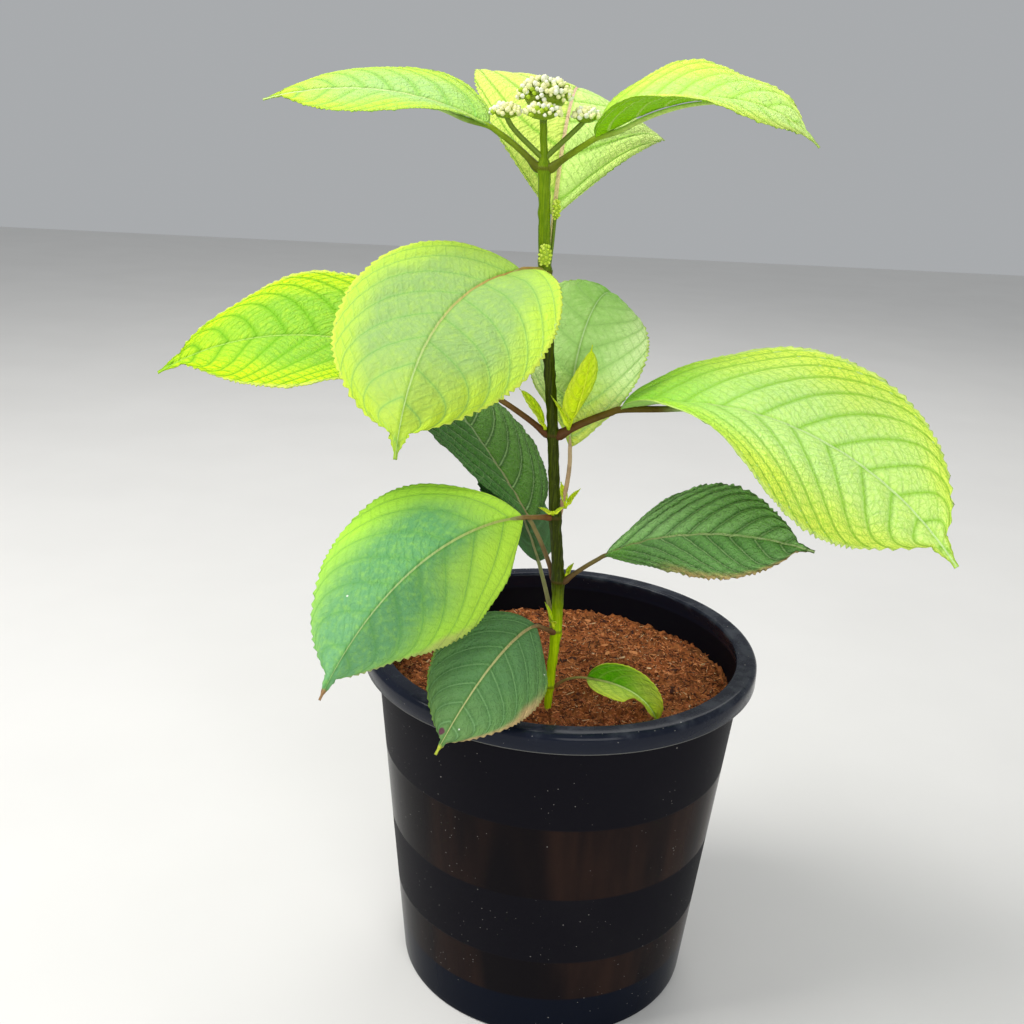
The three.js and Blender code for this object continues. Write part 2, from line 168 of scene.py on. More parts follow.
def fullTurn(steps):
    return np.linspace(0, 2 * math.pi, steps, endpoint=False)


def smoothNoise(points, scale, seed):    # cheap smooth noise from a few random waves, about -1 to 1
    random = np.random.default_rng(seed)
    total = np.zeros(points.shape[:-1])
    for _ in range(10):
        way = random.normal(size=points.shape[-1])
        way *= random.uniform(0.6, 1.6) / np.linalg.norm(way)
        total += np.sin(points @ way * scale + random.uniform(0, 6.28))
    return total / 3.2


class Build:    # gathers points, faces, uvs and values into one mesh
    def __init__(self):
        self.points, self.faces, self.uvs, self.slots = [], [], [], []
        self.values = {"place": [], "veins": []}
        self.count = 0

    def add(self, points, faces, uvs, slot=0, **values):    # faces has one array for each face size
        self.points.append(points)
        self.faces += [group + self.count for group in faces]
        self.uvs.append(uvs)
        for name, held in self.values.items():
            held.append(values.get(name, np.zeros((len(points), 3))))
        self.slots.append(np.zeros(sum(map(len, faces))) + slot)
        self.count += len(points)

    def loft(self, rings, window=(0.01, 0.01, 0.99, 0.99), caps=True, slot=0, **values):    # closed rings
        stations, count = rings.shape[:2]
        i, j = np.meshgrid(np.arange(stations - 1), np.arange(count), indexing="ij")
        i, j = i.ravel(), j.ravel()
        k = (j + 1) % count
        faces = [np.stack([i * count + j, i * count + k, (i + 1) * count + k, (i + 1) * count + j], 1)]
        left, low, right, high = window
        u = left + (right - left) * np.stack([j, j + 1, j + 1, j], 1) / count
        v = low + (high - low) * np.stack([i, i, i + 1, i + 1], 1) / (stations - 1)
        uvs = np.stack([u, v], 2).reshape(-1, 2)
        if caps:
            ring = np.arange(count)[None]
            faces += [ring[:, ::-1], ring + (stations - 1) * count]
            uvs = np.concatenate([uvs, np.full((count, 2), (left, low)), np.full((count, 2), (left, high))])
        flat = {key: value.reshape(-1, 3) for key, value in values.items()}
        self.add(rings.reshape(-1, 3), faces, uvs, slot, **flat)

    def piece(self, name, materials, node, slot, smooth=True):
        points = np.concatenate(self.points) * mm
        corners = np.concatenate([group.ravel() for group in self.faces])
        sizes = np.concatenate([np.full(len(group), group.shape[1]) for group in self.faces])
        mesh = bpy.data.meshes.new(name)
        mesh.vertices.add(len(points))
        mesh.vertices.foreach_set("co", points.astype(np.float32).ravel())
        mesh.loops.add(len(corners))
        mesh.loops.foreach_set("vertex_index", corners.astype(np.int32))
        mesh.polygons.add(len(sizes))
        mesh.polygons.foreach_set("loop_start", (np.cumsum(sizes) - sizes).astype(np.int32))
        mesh.polygons.foreach_set("use_smooth", np.full(len(sizes), smooth))
        mesh.polygons.foreach_set("material_index", np.concatenate(self.slots).astype(np.int32))
        for material in materials:
            mesh.materials.append(material)
        layer = mesh.uv_layers.new(name="OFBake")
        layer.data.foreach_set("uv", np.concatenate(self.uvs).astype(np.float32).ravel())
        for key, held in self.values.items():
            attribute = mesh.attributes.new(key, "FLOAT_VECTOR", "POINT")
            attribute.data.foreach_set("vector", np.concatenate(held).astype(np.float32).ravel())
        mesh.update()
        mesh.validate()
        piece = addObject(name, mesh)
        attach(piece, "root")
        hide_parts(node)


def spin(reach, steps):    # x and y of rings round the middle
    turn = fullTurn(steps)
    return np.outer(reach, np.cos(turn)), np.outer(reach, np.sin(turn))


def pointsAt(path, marks, where):
    return np.stack([np.interp(where, marks, path[:, k]) for k in range(3)], 1)


def walk(start, steps):
    return start + np.vstack([np.zeros(3), np.cumsum(steps, 0)])


def alongPath(points, count):    # a smooth even path through the points
    points = np.asarray(points, float)
    gaps = np.linalg.norm(np.diff(points, axis=0), axis=1)
    ends = np.vstack([2 * points[0] - points[1], points, 2 * points[-1] - points[-2]])
    path, marks = [], []
    for i in range(len(points) - 1):
        a, b, c, d = ends[i:i + 4]
        for t in np.linspace(0, 1, 13)[:12]:
            path.append(0.5 * (2 * b + (c - a) * t + (2 * a - 5 * b + 4 * c - d) * t * t
                               + (3 * b - a - 3 * c + d) * t ** 3))
            marks.append(gaps[:i].sum() + gaps[i] * t)
    path, marks = np.array([*path, points[-1]]), np.array([*marks, gaps.sum()])
    return pointsAt(path, marks, np.linspace(0, marks[-1], count))


def tube(path, radii, sides):    # rings round a path, kept from twisting
    ahead = np.gradient(path, axis=0)
    ahead /= np.linalg.norm(ahead, axis=1)[:, None]
    side = np.cross(ahead[0], (0, 0, 1.0) if abs(ahead[0][2]) < 0.9 else (0, 1.0, 0))
    turn = fullTurn(sides)
    rings = []
    for centre, way, radius in zip(path, ahead, radii):
        side = side - way * (side @ way)
        side /= np.linalg.norm(side)
        other = np.cross(way, side)
        rings.append(centre + radius * (np.outer(np.cos(turn), side) + np.outer(np.sin(turn), other)))
    return np.array(rings)


# Camera: 19 degrees down and rolled 2.75 degrees, with a 46 degree view

view = dict(place=(-35, -704, 557), down=19, roll=2.75, lens=42.19)


def makeCamera():
    camera = addObject("camera", bpy.data.cameras.new("camera"))
    camera.data.lens = view["lens"]
    camera.data.sensor_width = 36
    camera.data.clip_start = 0.01
    turned = Matrix.Rotation(rad(90 - view["down"]), 4, "X") @ Matrix.Rotation(rad(view["roll"]), 4, "Z")
    camera.matrix_world = Matrix.Translation(Vector(view["place"]) * mm) @ turned
    bpy.context.scene.camera = camera


makeCamera()


# Light and floor

light = dict(
    world=(0.94, 0.97, 1), strength=0.42, aim=(0, 0, 0.3), floorHalf=4,
    areas=dict(
        top=dict(place=(-1.1, -0.2, 1.9), size=1, power=34, colour=(1, 0.99, 0.96)),
        front=dict(place=(0.6, -2.1, 1.2), size=1.3, power=20, colour=(1, 1, 1)),
        back=dict(place=(0.5, 1.5, 1.9), size=1.2, power=12, colour=(1, 0.99, 0.96)),
    ),
)


def makeLight():
    world = bpy.data.worlds.new("studio")
    world.use_nodes = True
    background = world.node_tree.nodes["Background"]
    background.inputs[0].default_value = (*light["world"], 1)
    background.inputs[1].default_value = light["strength"]
    bpy.context.scene.world = world
    bpy.context.scene.view_settings.view_transform = "Standard"
    for name, spec in light["areas"].items():
        data = bpy.data.lights.new(name, "AREA")
        data.size, data.energy, data.color = spec["size"], spec["power"], spec["colour"]
        lamp = addObject(name, data)
        lamp.location = spec["place"]
        aim = Vector(light["aim"]) - lamp.location
        lamp.rotation_euler = aim.to_track_quat("-Z", "Y").to_euler()


def makeFloor():
    mesh = bpy.data.meshes.new("floor")
    half = light["floorHalf"]
    corners = [(-half, -half, 0), (half, -half, 0), (half, half, 0), (-half, half, 0)]
    mesh.from_pydata(corners, [], [(0, 1, 2, 3)])
    mesh.materials.append(grainMaterial("floor", (0.74, 0.73, 0.71), (0.8, 0.79, 0.77), 6, 0.75))
    addObject("floor", mesh)


makeLight()
makeFloor()
print("camera, light and floor made")


# Pot: black moulded plastic with broad matte and glossy bands and a rolled lip

pot = dict(
    height=230, rimRadius=125, mouthRadius=112, shoulderRadius=116.5, baseRadius=95.5, wall=1.8, floor=2.2,
    lipDrop=12, lipWall=2.2, lipRound=4, baseRound=1.5, beadRadius=2, beadDepth=9, segments=160,
    colour=(0.006, 0.0055, 0.0085), glossyBands=[(0, 60), (109, 160)], bandEdge=0.8, collar=215, foot=30,
    # Height of the painted highlight line along the lip's lower edge.
    lipEdgeHighlight=218.4,
)


def wallRadius(z):
    slope = (pot["shoulderRadius"] - pot["baseRadius"]) / (pot["height"] - pot["lipDrop"])
    return pot["baseRadius"] + slope * z


def arc(centre, radius, start, end, steps):
    angle = rad(np.linspace(start, end, steps + 1))
    return np.stack([centre[0] + radius * np.cos(angle), centre[1] + radius * np.sin(angle)], 1)


def potMaterial():
    graph = Graph("potPlastic")
    where = graph.coordinates()
    x, y, z = graph.split(where)
    height = z * 1000
    gloss, soft = 0, pot["bandEdge"]
    for low, high in pot["glossyBands"]:
        gloss = gloss + height.ramp(low - soft, low + soft) * height.ramp(high + soft, high - soft)
    outside = graph.split(graph.attribute("place"))[0]
    gloss = gloss.clip() * outside
    speck = graph.cells(where, 110).ramp(0.055, 0.02) * graph.noise(where, 30, 2).ramp(0.45, 0.55)
    grit = graph.cells(where, 260).ramp(0.09, 0.03) * graph.noise(where, 18, 2).ramp(0.48, 0.56)
    dust = (speck + grit).clip()
    # Scuffs on the rim, stronger to the right. This mask also paints the pale blue-grey sheen on the lip's
    # top as painted reflection.
    wearAndSheen = (graph.noise(where, 70, 5, 0.6) + x * 0.8).ramp(0.45, 0.85)
    collar, foot = pot["collar"], pot["foot"]
    lip = height.ramp(collar + 2, collar + 4)
    top = height.ramp(collar + 1, pot["height"])
    # Grey dust, plus the scuff mask near the top, which there also stands for painted sheen.
    grimeAndSheen = (wearAndSheen * top * 0.5 + graph.noise(where, 14, 4).ramp(0.45, 0.8) * 0.25 * (1 - gloss)).clip()
    # Painted reflections: brown streaks and patches on the glossy bands, only on the front half that faces
    # the camera.
    reflectionStreak = graph.noise(graph.vector(x * 60, y * 60, z * 7), 1, 4)
    broad = graph.noise(graph.vector(x * 13, y * 13, z * 2), 1, 2)
    paintedReflection = reflectionStreak.ramp(0.2, 0.75) * broad.ramp(0.38, 0.5) * y.ramp(0.02, -0.05)
    reflectedBrown = graph.mix(paintedReflection, (0.006, 0.0048, 0.006), (0.024, 0.0125, 0.0095))
    # Painted highlight: a thin pale line along the lower edge of the lip.
    lipEdgeHighlight = (height - pot["lipEdgeHighlight"]).abs().ramp(0.55, 0.25) * outside
    colour = graph.coats(
        pot["colour"],
        (grimeAndSheen * 0.25, (0.05, 0.048, 0.046)),
        # The glossy bands take the painted brown reflections.
        (gloss * height.ramp(collar + 1, collar - 1) * height.ramp(foot - 1, foot + 1), reflectedBrown),
        (height.ramp(foot + 1, foot - 1), (0.004, 0.006, 0.013)),
        # Painted reflection: a bluish tint over the glossy lip.
        (lip * 0.9, (0.008, 0.011, 0.022)),
        # Painted reflection: pale blue-grey sheen on the top of the lip, stronger on the right.
        (wearAndSheen * height.ramp(pot["height"] - 5, pot["height"] - 1) * 0.5, (0.09, 0.1, 0.12)),
        # The painted highlight line along the lip's lower edge.
        (lipEdgeHighlight * 0.6, (0.2, 0.2, 0.18)),
        (dust * outside * 0.75, (0.45, 0.43, 0.4)),
    )
    fine = graph.noise(where, 2600, 2)
    gloss = gloss.math("MAXIMUM", lip * (1 - grimeAndSheen))
    rough = 0.5 + 0.12 * grimeAndSheen - 0.28 * gloss
    relief = fine * (1 - gloss) * 0.6 + graph.noise(where, 60, 3) * 0.4
    normal = graph.bump(relief, 0.00025, 0.5)
    return graph.finish(baseColor=colour, roughness=rough, normal=normal, specular=0.025,
                        coat=outside * 0.03 + lip * 0.22, coatRoughness=0.12)


def makePot():
    high, rim = pot["height"], pot["rimRadius"]
    underLip = high - pot["lipWall"]
    corner = (rim - pot["lipRound"], high - pot["lipRound"])
    bead = (pot["mouthRadius"] + pot["beadRadius"], high - pot["beadRadius"])
    lowLip = high - pot["lipDrop"]
    outer = np.linspace(pot["baseRound"] + 1, underLip, 90)
    inner = np.linspace(high - pot["beadDepth"], pot["floor"] + 1, 50)
    profile = np.concatenate([
        [(0.01, 0)],
        arc((wallRadius(0) - pot["baseRound"], pot["baseRound"]), pot["baseRound"], -90, 0, 6),
        np.stack([wallRadius(outer), outer], 1),
        arc(corner, pot["lipRound"] - pot["lipWall"], 90, 0, 6),
        [(rim - pot["lipWall"], lowLip + 0.5), (rim - pot["lipWall"] + 0.5, lowLip), (rim - 0.5, lowLip)],
        [(rim, lowLip + 0.5)],
        arc(corner, pot["lipRound"], 0, 90, 10),
        arc(bead, pot["beadRadius"], 90, 180, 6),
        np.stack([wallRadius(inner) - pot["wall"], inner], 1),
        [(wallRadius(0) - pot["wall"] - 1, pot["floor"]), (0.01, pot["floor"])],
    ])
    x, y = spin(profile[:, 0], pot["segments"])
    outside = np.arange(len(profile)) < len(profile) - len(inner) - 2
    places = np.stack([outside[:, None] + 0 * x, 0 * x, 0 * x], 2)
    build = Build()
    build.loft(np.stack([x, y, profile[:, 1:] + 0 * x], 2), caps=False, place=places)
    build.piece("potShell", [potMaterial()], "pot", "pot")


makePot()
print("pot made")


# Soil: coarse moist coconut fibre with loose chips

soil = dict(edgeHeight=201, sink=0.6, crown=2.5, rough=1.14, skirtHeight=190, rings=130, turns=350)


def soilHeight(x, y):
    share = np.hypot(x, y) / (wallRadius(soil["edgeHeight"]) - pot["wall"])
    flat = np.stack([x, y], -1)
    lumps = smoothNoise(flat, 0.2, 3) + np.abs(smoothNoise(flat, 0.55, 4)) * 1.4
    lumps = lumps + smoothNoise(flat, 1.7, 5) * 0.5
    return soil["edgeHeight"] - soil["sink"] + soil["crown"] * (1 - share ** 2) + soil["rough"] * lumps


def soilMaterial():
    graph = Graph("soilFibre")
    where = graph.coordinates()
    grain = graph.noise(where, 260, 6, 0.7)
    lump = graph.noise(where, 60, 4, 0.6)
    strand = graph.cells(where, 420)
    colour = graph.coats(
        (0.04, 0.01, 0.004),
        (grain.ramp(0.3, 0.72), (0.55, 0.17, 0.05)),
        (lump.ramp(0.45, 0.75) * 0.5, (0.5, 0.2, 0.075)),
        (strand.ramp(0.25, 0.02) * 0.5, (0.62, 0.3, 0.14)),
    )
    normal = graph.bump(grain + strand * 0.6, 0.0012, 0.9)
    return graph.finish(baseColor=colour, roughness=0.92, normal=normal, specular=0.15)


def makeSoil():
    edge = wallRadius(soil["edgeHeight"]) - pot["wall"] - 0.2
    reach = edge * np.linspace(0.0008, 1, soil["rings"]) ** 0.75
    x, y = spin(reach, soil["turns"])
    top = np.stack([x, y, soilHeight(x, y)], 2)
    side = np.stack([x[-1], y[-1], 0 * x[-1] + soil["skirtHeight"]], 1)
    build = Build()
    build.loft(np.concatenate([top, side[None]]), caps=False)
    build.piece("soilTop", [soilMaterial()], "soil", "soil")


chip = dict(
    count=13000, inset=4, length=(2.2, 0.8), least=0.8, longest=7, width=(0.16, 0.42), depth=(0.16, 0.34),
    lumpEvery=60, lump=[(2, 6), (0.9, 1.7), (0.5, 1.1)], slope=0.3, uneven=0.25,
    colours=[(0.07, 0.016, 0.005), (0.56, 0.16, 0.045), (0.96, 0.38, 0.14), (1, 0.7, 0.4)],
    shares=[0.32, 0.36, 0.27, 0.05], darkest=0.6,
)


def makeChips():
    random = np.random.default_rng(21)
    edge = wallRadius(soil["edgeHeight"]) - pot["wall"] - chip["inset"]
    circle = 6.283
    splint = np.array([(end, math.cos(a), math.sin(a)) for end in (-1, 1) for a in (1.57, 3.67, 5.76)])
    sides = [np.array([(0, 1, 4, 3), (1, 2, 5, 4), (2, 0, 3, 5)]), np.array([(0, 2, 1), (3, 4, 5)])]
    build = Build()
    for i in range(chip["count"]):
        reach, turn = edge * math.sqrt(random.random()), random.uniform(0, circle)
        x, y = reach * math.cos(turn), reach * math.sin(turn)
        long = min(random.gamma(*chip["length"]) + chip["least"], chip["longest"])
        size = np.array([long, random.uniform(*chip["width"]), random.uniform(*chip["depth"])])
        if i % chip["lumpEvery"] == 0:
            size = np.array([random.uniform(*span) for span in chip["lump"]])
        size[0] *= 0.5
        way, tip = random.uniform(0, circle), random.normal(0, chip["slope"])
        corners = splint * size * (1 + chip["uneven"] * random.normal(size=(6, 1)))
        tilt = Matrix.Rotation(way, 3, "Z") @ Matrix.Rotation(tip, 3, "Y")
        z = float(soilHeight(np.array(x), np.array(y))) + size[2] * 0.5
        points = corners @ np.array(tilt).T + (x, y, z)
        slot = int(random.choice(4, p=chip["shares"]))
        build.add(points, sides, np.tile(random.random(2) * 0.98, (18, 1)), slot=slot)
    materials = []
    for i, colour in enumerate(chip["colours"]):
        dark = np.multiply(colour, chip["darkest"])
        materials.append(grainMaterial("soilChip%d" % i, dark, colour, 900, 0.85))
    build.piece("soilChips", materials, "soil", "soil", smooth=False)


makeSoil()
makeChips()
print("soil made")


# Stem: green, striped low down, ringed at its joints

stemDepth = -46
stem = dict(    # height, sideways place and radius at each joint
    foot=(203, -7.4, 2), soil=(220, -7.1, 2.6), foot2=(257, -5.3, 3.2), base=(289, -5.9, 3.6),
    low=(329, -9.9, 3.4), mid=(378, -13.9, 3.1), upper=(469, -23.5, 3.4), top=(523, -26.8, 3.2),
    neck=(529, -27.2, 2), tip=(546, -28.5, 1.9),
)
jointNames = ["soil", "foot2", "base", "low", "mid", "upper", "top"]
stemLook = dict(
    sides=40, rings=600, swell=0.6, swellLength=4, scar=0.25, scarLength=0.8, ribs=7, ribDepth=0.035,
    ribTwist=0.02, ribsFrom=210, rough=0.05,
)


def stemPoint(name):
    z, x, _ = stem[name]
    return np.array([x, stemDepth, z], float)


def stemMaterial():
    graph = Graph("stemSkin")
    where = graph.coordinates()
    x, y, z = graph.split(where)
    height = z * 1000
    along = graph.vector(x * 1000, y * 1000, height * 0.06)
    stripe = graph.noise(along, 1.1, 4, 0.6)
    fine = graph.noise(where, 1500, 3)
    low = graph.mix(stripe.ramp(0.35, 0.7), (0.34, 0.56, 0.0), (0.55, 0.76, 0.005))
    middle = graph.mix(stripe.ramp(0.4, 0.65), (0.024, 0.034, 0.0), (0.055, 0.075, 0.001))
    high = graph.mix(stripe.ramp(0.4, 0.65), (0.13, 0.23, 0.002), (0.2, 0.31, 0.004))
    ring = 0
    for name in jointNames:
        ring = ring + (height - stem[name][0]).abs().ramp(1.6, 0.3)
    colour = graph.coats(
        low,
        (height.ramp(250, 292), middle),
        (height.ramp(440, 490), high),
        (ring.clip() * 0.55, (0.09, 0.05, 0.012)),
        (graph.cells(where, 620).ramp(0.14, 0.05) * 0.3, (0.4, 0.42, 0.1)),
    )
    normal = graph.bump(stripe * 0.7 + fine * 0.3, 0.0004, 0.8)
    return graph.finish(baseColor=colour, roughness=0.45, normal=normal, specular=0.12)


def stemCurve(height):    # centre and radius at each height
    marks = np.array(list(stem.values()))
    slopes = np.gradient(marks[:, 1], marks[:, 0])
    i = np.clip(np.searchsorted(marks[:, 0], height) - 1, 0, len(marks) - 2)
    gap = marks[i + 1, 0] - marks[i, 0]
    t = (height - marks[i, 0]) / gap
    x = ((2 * t ** 3 - 3 * t ** 2 + 1) * marks[i, 1] + (t ** 3 - 2 * t ** 2 + t) * gap * slopes[i]
         + (3 * t ** 2 - 2 * t ** 3) * marks[i + 1, 1] + (t ** 3 - t ** 2) * gap * slopes[i + 1])
    radius = np.interp(height, marks[:, 0], marks[:, 2])
    for name in jointNames:
        away = height - stem[name][0]
        radius = radius + stemLook["swell"] * np.exp(-(away / stemLook["swellLength"]) ** 2)
        radius = radius + stemLook["scar"] * np.exp(-(away / stemLook["scarLength"]) ** 2)
    return np.stack([x, np.full_like(x, stemDepth), height], 1), radius


def makeStem():
    height = np.linspace(stem["foot"][0], stem["tip"][0], stemLook["rings"])
    path, radius = stemCurve(height)
    rings = tube(path, radius, stemLook["sides"])
    turn = fullTurn(stemLook["sides"])
    ridge = stemLook["ribDepth"] * np.sin(stemLook["ribs"] * turn + stemLook["ribTwist"] * height[:, None])
    ridge = ridge * (height[:, None] > stemLook["ribsFrom"])
    rough = smoothNoise(rings, 0.9, 8) * stemLook["rough"]
    rings += (rings - path[:, None]) * (ridge + rough)[..., None]
    build = Build()
    build.loft(rings)
    build.piece("stemSkin", [stemMaterial()], "stem", "stem")


makeStem()
print("stem made")


# The half colour is painted light and shade on one half of the blade, as that half faces the lamps, with some
# tint of its own.
# Leaves grow by one rule. turn is the heading seen from above, 0 to the right and 90 to the back. The stalk
# leaves at the elevation rise and bends by bow. The blade bends down by droop and sideways by sweep.
# roll and twist tilt it about its midrib. Its halves rise by fold, changed by open, and curve down by cup.
# A bite is its place, side, depth and spread. The sign in the half colour and scorch picks the half they
# colour.
# A mark is its place along and across, its radius in mm and its colour.

leafDefaults = dict(
    late=1, girth=3, shoulder=0.64, taper=0.8, sweep=0, veins=8, quilt=1, teeth=34, tooth=2.1, wave=1.6,
    stations=200, columns=30, seed=1, thick=0.7, ladder=6.5, rungs=0.14, lean=0.45, stalkRings=110,
    bite=None, patchScale=2.4, stepDepth=1.8, edgeFrom=0.45, edgeTo=0.95, edgeLean=0, tipShare=0.4,
    baseReach=0.3, baseShare=0.4, halfEdge=(-0.012, 0.012), lift=(1.18, 1.12, 1.25), liftShare=0.6,
    haloWidth=2.6, haloShare=0.4, netShare=0.35, stepShare=0.4, veinShare=0.75, ribWidth=1.2,
    beside=(0.62, 0.72, 0.45), ribFade=0.6, ribStart=1, scorchFrom=0.88, topShare=0.5, bump=0.7,
    shine=0.13, marks=[], halves=None, rimLine=None, scorch=None,
)
likeColours = dict(    # used where a leaf gives no colour of its own
    tip="margin", mottle="margin", base="middle", under="middle", halo="vein", net="vein",
    stalkEnd="ribBase",
)
blade = dict(
    axil=3.5, drawnTip=0.93, tipShare=0.075, leastReach=0.33, ribEnd=0.9, midribSteps=48, stalkSteps=6,
    stalkSides=16, veinCurl=1, veinTurn=0.17, veinShift=0.2, teethFrom=0.88, sawPeak=0.74, outOfStep=0.4,
    hollow=0.55, groove=0.5, grooveWidth=1.4, ridge=0.25, ridgeWidth=0.9, edgeThin=0.6,
)


def fullLeaf(spec):
    like = {key: spec[other] for key, other in likeColours.items()}
    return SimpleNamespace(**{**leafDefaults, **like, **spec})


def heading(elevation, turn):
    flat = np.cos(elevation)
    return np.stack([flat * np.cos(turn), flat * np.sin(turn), np.sin(elevation)], -1)


def stalkPath(leaf, start):
    share = (np.arange(blade["stalkSteps"]) + 0.5) / blade["stalkSteps"]
    elevation = rad(leaf.rise + leaf.bow * share)
    steps = heading(elevation, np.full_like(elevation, rad(leaf.turn))) * leaf.stalk / len(share)
    return walk(start, steps)


def bladeFrame(leaf, share):    # ahead, side and up along the midrib
    elevation = rad(leaf.rise + leaf.bow - leaf.droop * share ** leaf.late)
    turn = rad(leaf.turn + leaf.sweep * share)
    ahead = heading(elevation, turn)
    upright = heading(elevation + math.pi / 2, turn)
    level = np.cross(ahead, upright)
    roll = rad(leaf.roll + leaf.twist * share)[..., None]
    return ahead, level * np.cos(roll) + upright * np.sin(roll), upright * np.cos(roll) - level * np.sin(roll)


def midribPath(leaf, start):
    share = (np.arange(blade["midribSteps"]) + 0.5) / blade["midribSteps"]
    return walk(start, bladeFrame(leaf, share)[0] * leaf.length / len(share))


def halfWidth(leaf, share):
    shoulder, point = leaf.shoulder, leaf.taper
    along = np.minimum(share / blade["drawnTip"], 1)
    widest = shoulder / (shoulder + point)
    body = along ** shoulder * (1 - along) ** point / (widest ** shoulder * (1 - widest) ** point)
    drawn = blade["tipShare"] * np.minimum(1, (1 - share) / (1 - blade["drawnTip"]))
    return leaf.width / 2 * np.maximum(body, np.where(share > widest, drawn, 0))


def veinValues(leaf, share, lateral, across):    # whole numbers of phase lie on the side veins
    out = np.abs(lateral)
    flat = np.stack([share * leaf.length + 0 * across, lateral * leaf.length], -1)
    wobble = smoothNoise(flat, 0.06, leaf.seed + 3)
    start = share - leaf.lean * out - blade["veinCurl"] * out ** 2
    start = start - blade["veinTurn"] * np.abs(across) ** 5
    shift = blade["veinShift"] * np.clip(lateral * leaf.length / 1.5, 0, 1)
    phase = leaf.veins * (start + 0.04) + shift + 0.07 * wobble
    ladder = (out + 0.8 * share) * leaf.length / leaf.ladder
    ladder = ladder + 0.4 * smoothNoise(flat, 0.12, leaf.seed + 5)
    return np.stack([phase, ladder, np.abs(across) + 0 * phase], -1), flat


def bladeRings(leaf, midrib):
    share = np.linspace(0, 1, leaf.stations + 1)[:, None]
    across = np.linspace(-1, 1, 2 * leaf.columns + 1)[None, :]
    _, side, up = bladeFrame(leaf, share[:, 0])
    centre = pointsAt(midrib, np.linspace(0, 1, len(midrib)), share[:, 0])
    reach = np.maximum(halfWidth(leaf, share), leaf.girth * blade["leastReach"])
    if leaf.bite:    # a piece missing from one edge
        where, half, depth, spread = leaf.bite
        reach = reach * (1 - depth * np.exp(-((share - where) / spread) ** 4) * (across * half > 0))
    random = np.random.default_rng(leaf.seed)
    fade = np.clip(share / 0.1, 0, 1) * np.clip((0.98 - share) / 0.08, 0, 1)
    beat = leaf.teeth * (share + 0.012 * np.sin(23 * share + random.uniform(0, 6)))
    beat = beat + np.where(across > 0, blade["outOfStep"], 0)
    saw, peak = beat % 1, blade["sawPeak"]
    saw = np.where(saw < peak, saw / peak, (1 - saw) / (1 - peak))
    size = leaf.tooth * (0.75 + 0.3 * np.sin(7.3 * np.floor(beat) + leaf.seed)) * (0.35 + 0.95 * share)
    edge = np.clip((np.abs(across) - blade["teethFrom"]) / (1 - blade["teethFrom"]), 0, 1)
    reachNow = reach + edge ** 2 * fade * size * (saw - 0.6)
    fold = rad(leaf.fold + leaf.open * share)
    cup = rad(leaf.cup)
    slope = fold - cup * np.abs(across)
    sign = np.sign(across)
    sideways = sign * reachNow * (np.sin(fold) - np.sin(slope)) / cup
    lifted = reachNow * (np.cos(slope) - np.cos(fold)) / cup
    tilt = sign * slope
    middle = centre[:, None] + side[:, None] * sideways[..., None] + up[:, None] * lifted[..., None]
    normal = up[:, None] * np.cos(tilt)[..., None] - side[:, None] * np.sin(tilt)[..., None]
    lateral = reach * across / leaf.length
    veins, flat = veinValues(leaf, share, lateral, across)
    phase = veins[..., 0]
    step = veins[..., 1] + 0.37 * np.floor(phase)
    rung = 1 - leaf.rungs + leaf.rungs * np.abs(np.sin(math.pi * step)) ** 0.7
    pillow = np.abs(np.sin(math.pi * phase)) ** 0.8 * rung - blade["hollow"]
    inner = np.clip(np.abs(lateral) * leaf.length / 5, 0, 1) * (1 - 0.5 * np.abs(across) ** 4)
    rise = leaf.quilt * pillow * inner * fade
    rise += leaf.wave * np.abs(across) ** 3 * fade * smoothNoise(flat, 0.09, leaf.seed)
    rise += 0.1 * leaf.quilt * smoothNoise(flat, 0.55, leaf.seed + 7) * fade
    groove = blade["groove"] * np.exp(-(lateral * leaf.length / blade["grooveWidth"]) ** 2)
    thin = leaf.thick / 2 * (1 - blade["edgeThin"] * np.abs(across) ** 6)
    top = middle + normal * (rise + thin - groove)[..., None]
    fromVein = (phase - np.round(phase)) * leaf.length / leaf.veins    # mm
    ridge = blade["ridge"] * np.exp(-(fromVein / blade["ridgeWidth"]) ** 2) * fade
    under = middle + normal * (rise - thin - ridge - groove * 0.4)[..., None]
    place = np.stack([share + 0 * across, lateral, 0 * lateral], -1)
    back = slice(None, None, -2)    # the underside is half as fine

    def around(upper, lower):
        return np.concatenate([upper, lower[:, back]], 1)[:, ::-1]

    return around(top, under), around(place, place + (0, 0, 1)), around(veins, veins)


def leafInto(build, leaf, start, root, window=(0, 0, 1, 1)):
    stalk = stalkPath(leaf, start)
    midrib = midribPath(leaf, stalk[-1])
    left, low, right, high = window
    split = low + (high - low) * 0.12
    rings, places, veins = bladeRings(leaf, midrib)
    build.loft(rings, (left, split, right, high), place=places, veins=veins)
    share = blade["ribEnd"] * np.arange(1, 10) / 9
    radius = leaf.girth / 2
    up = bladeFrame(leaf, share)[2]
    below = pointsAt(midrib, np.linspace(0, 1, len(midrib)), share)
    below = below - up * (radius * (1 - 0.65 * share))[:, None] * 1.5
    path = alongPath(np.vstack([root, stalk, below]), leaf.stalkRings)
    along = np.linspace(0, 1, len(path))
    travelled = np.linalg.norm(np.diff(path, axis=0), axis=1).sum() * along
    thick = radius * (1 - 0.72 * along) * (1 + 0.45 * np.exp(-((travelled - 4) / 4.5) ** 2))
    rings = tube(path, thick, blade["stalkSides"])
    stalkShare = leaf.stalk / (leaf.stalk + leaf.length * blade["ribEnd"])
    values = np.stack([along, along / stalkShare, 0 * along], 1)
    values = np.repeat(values, blade["stalkSides"], 0)
    build.loft(rings, (left, low, right, split * 0.95), slot=1, place=values)


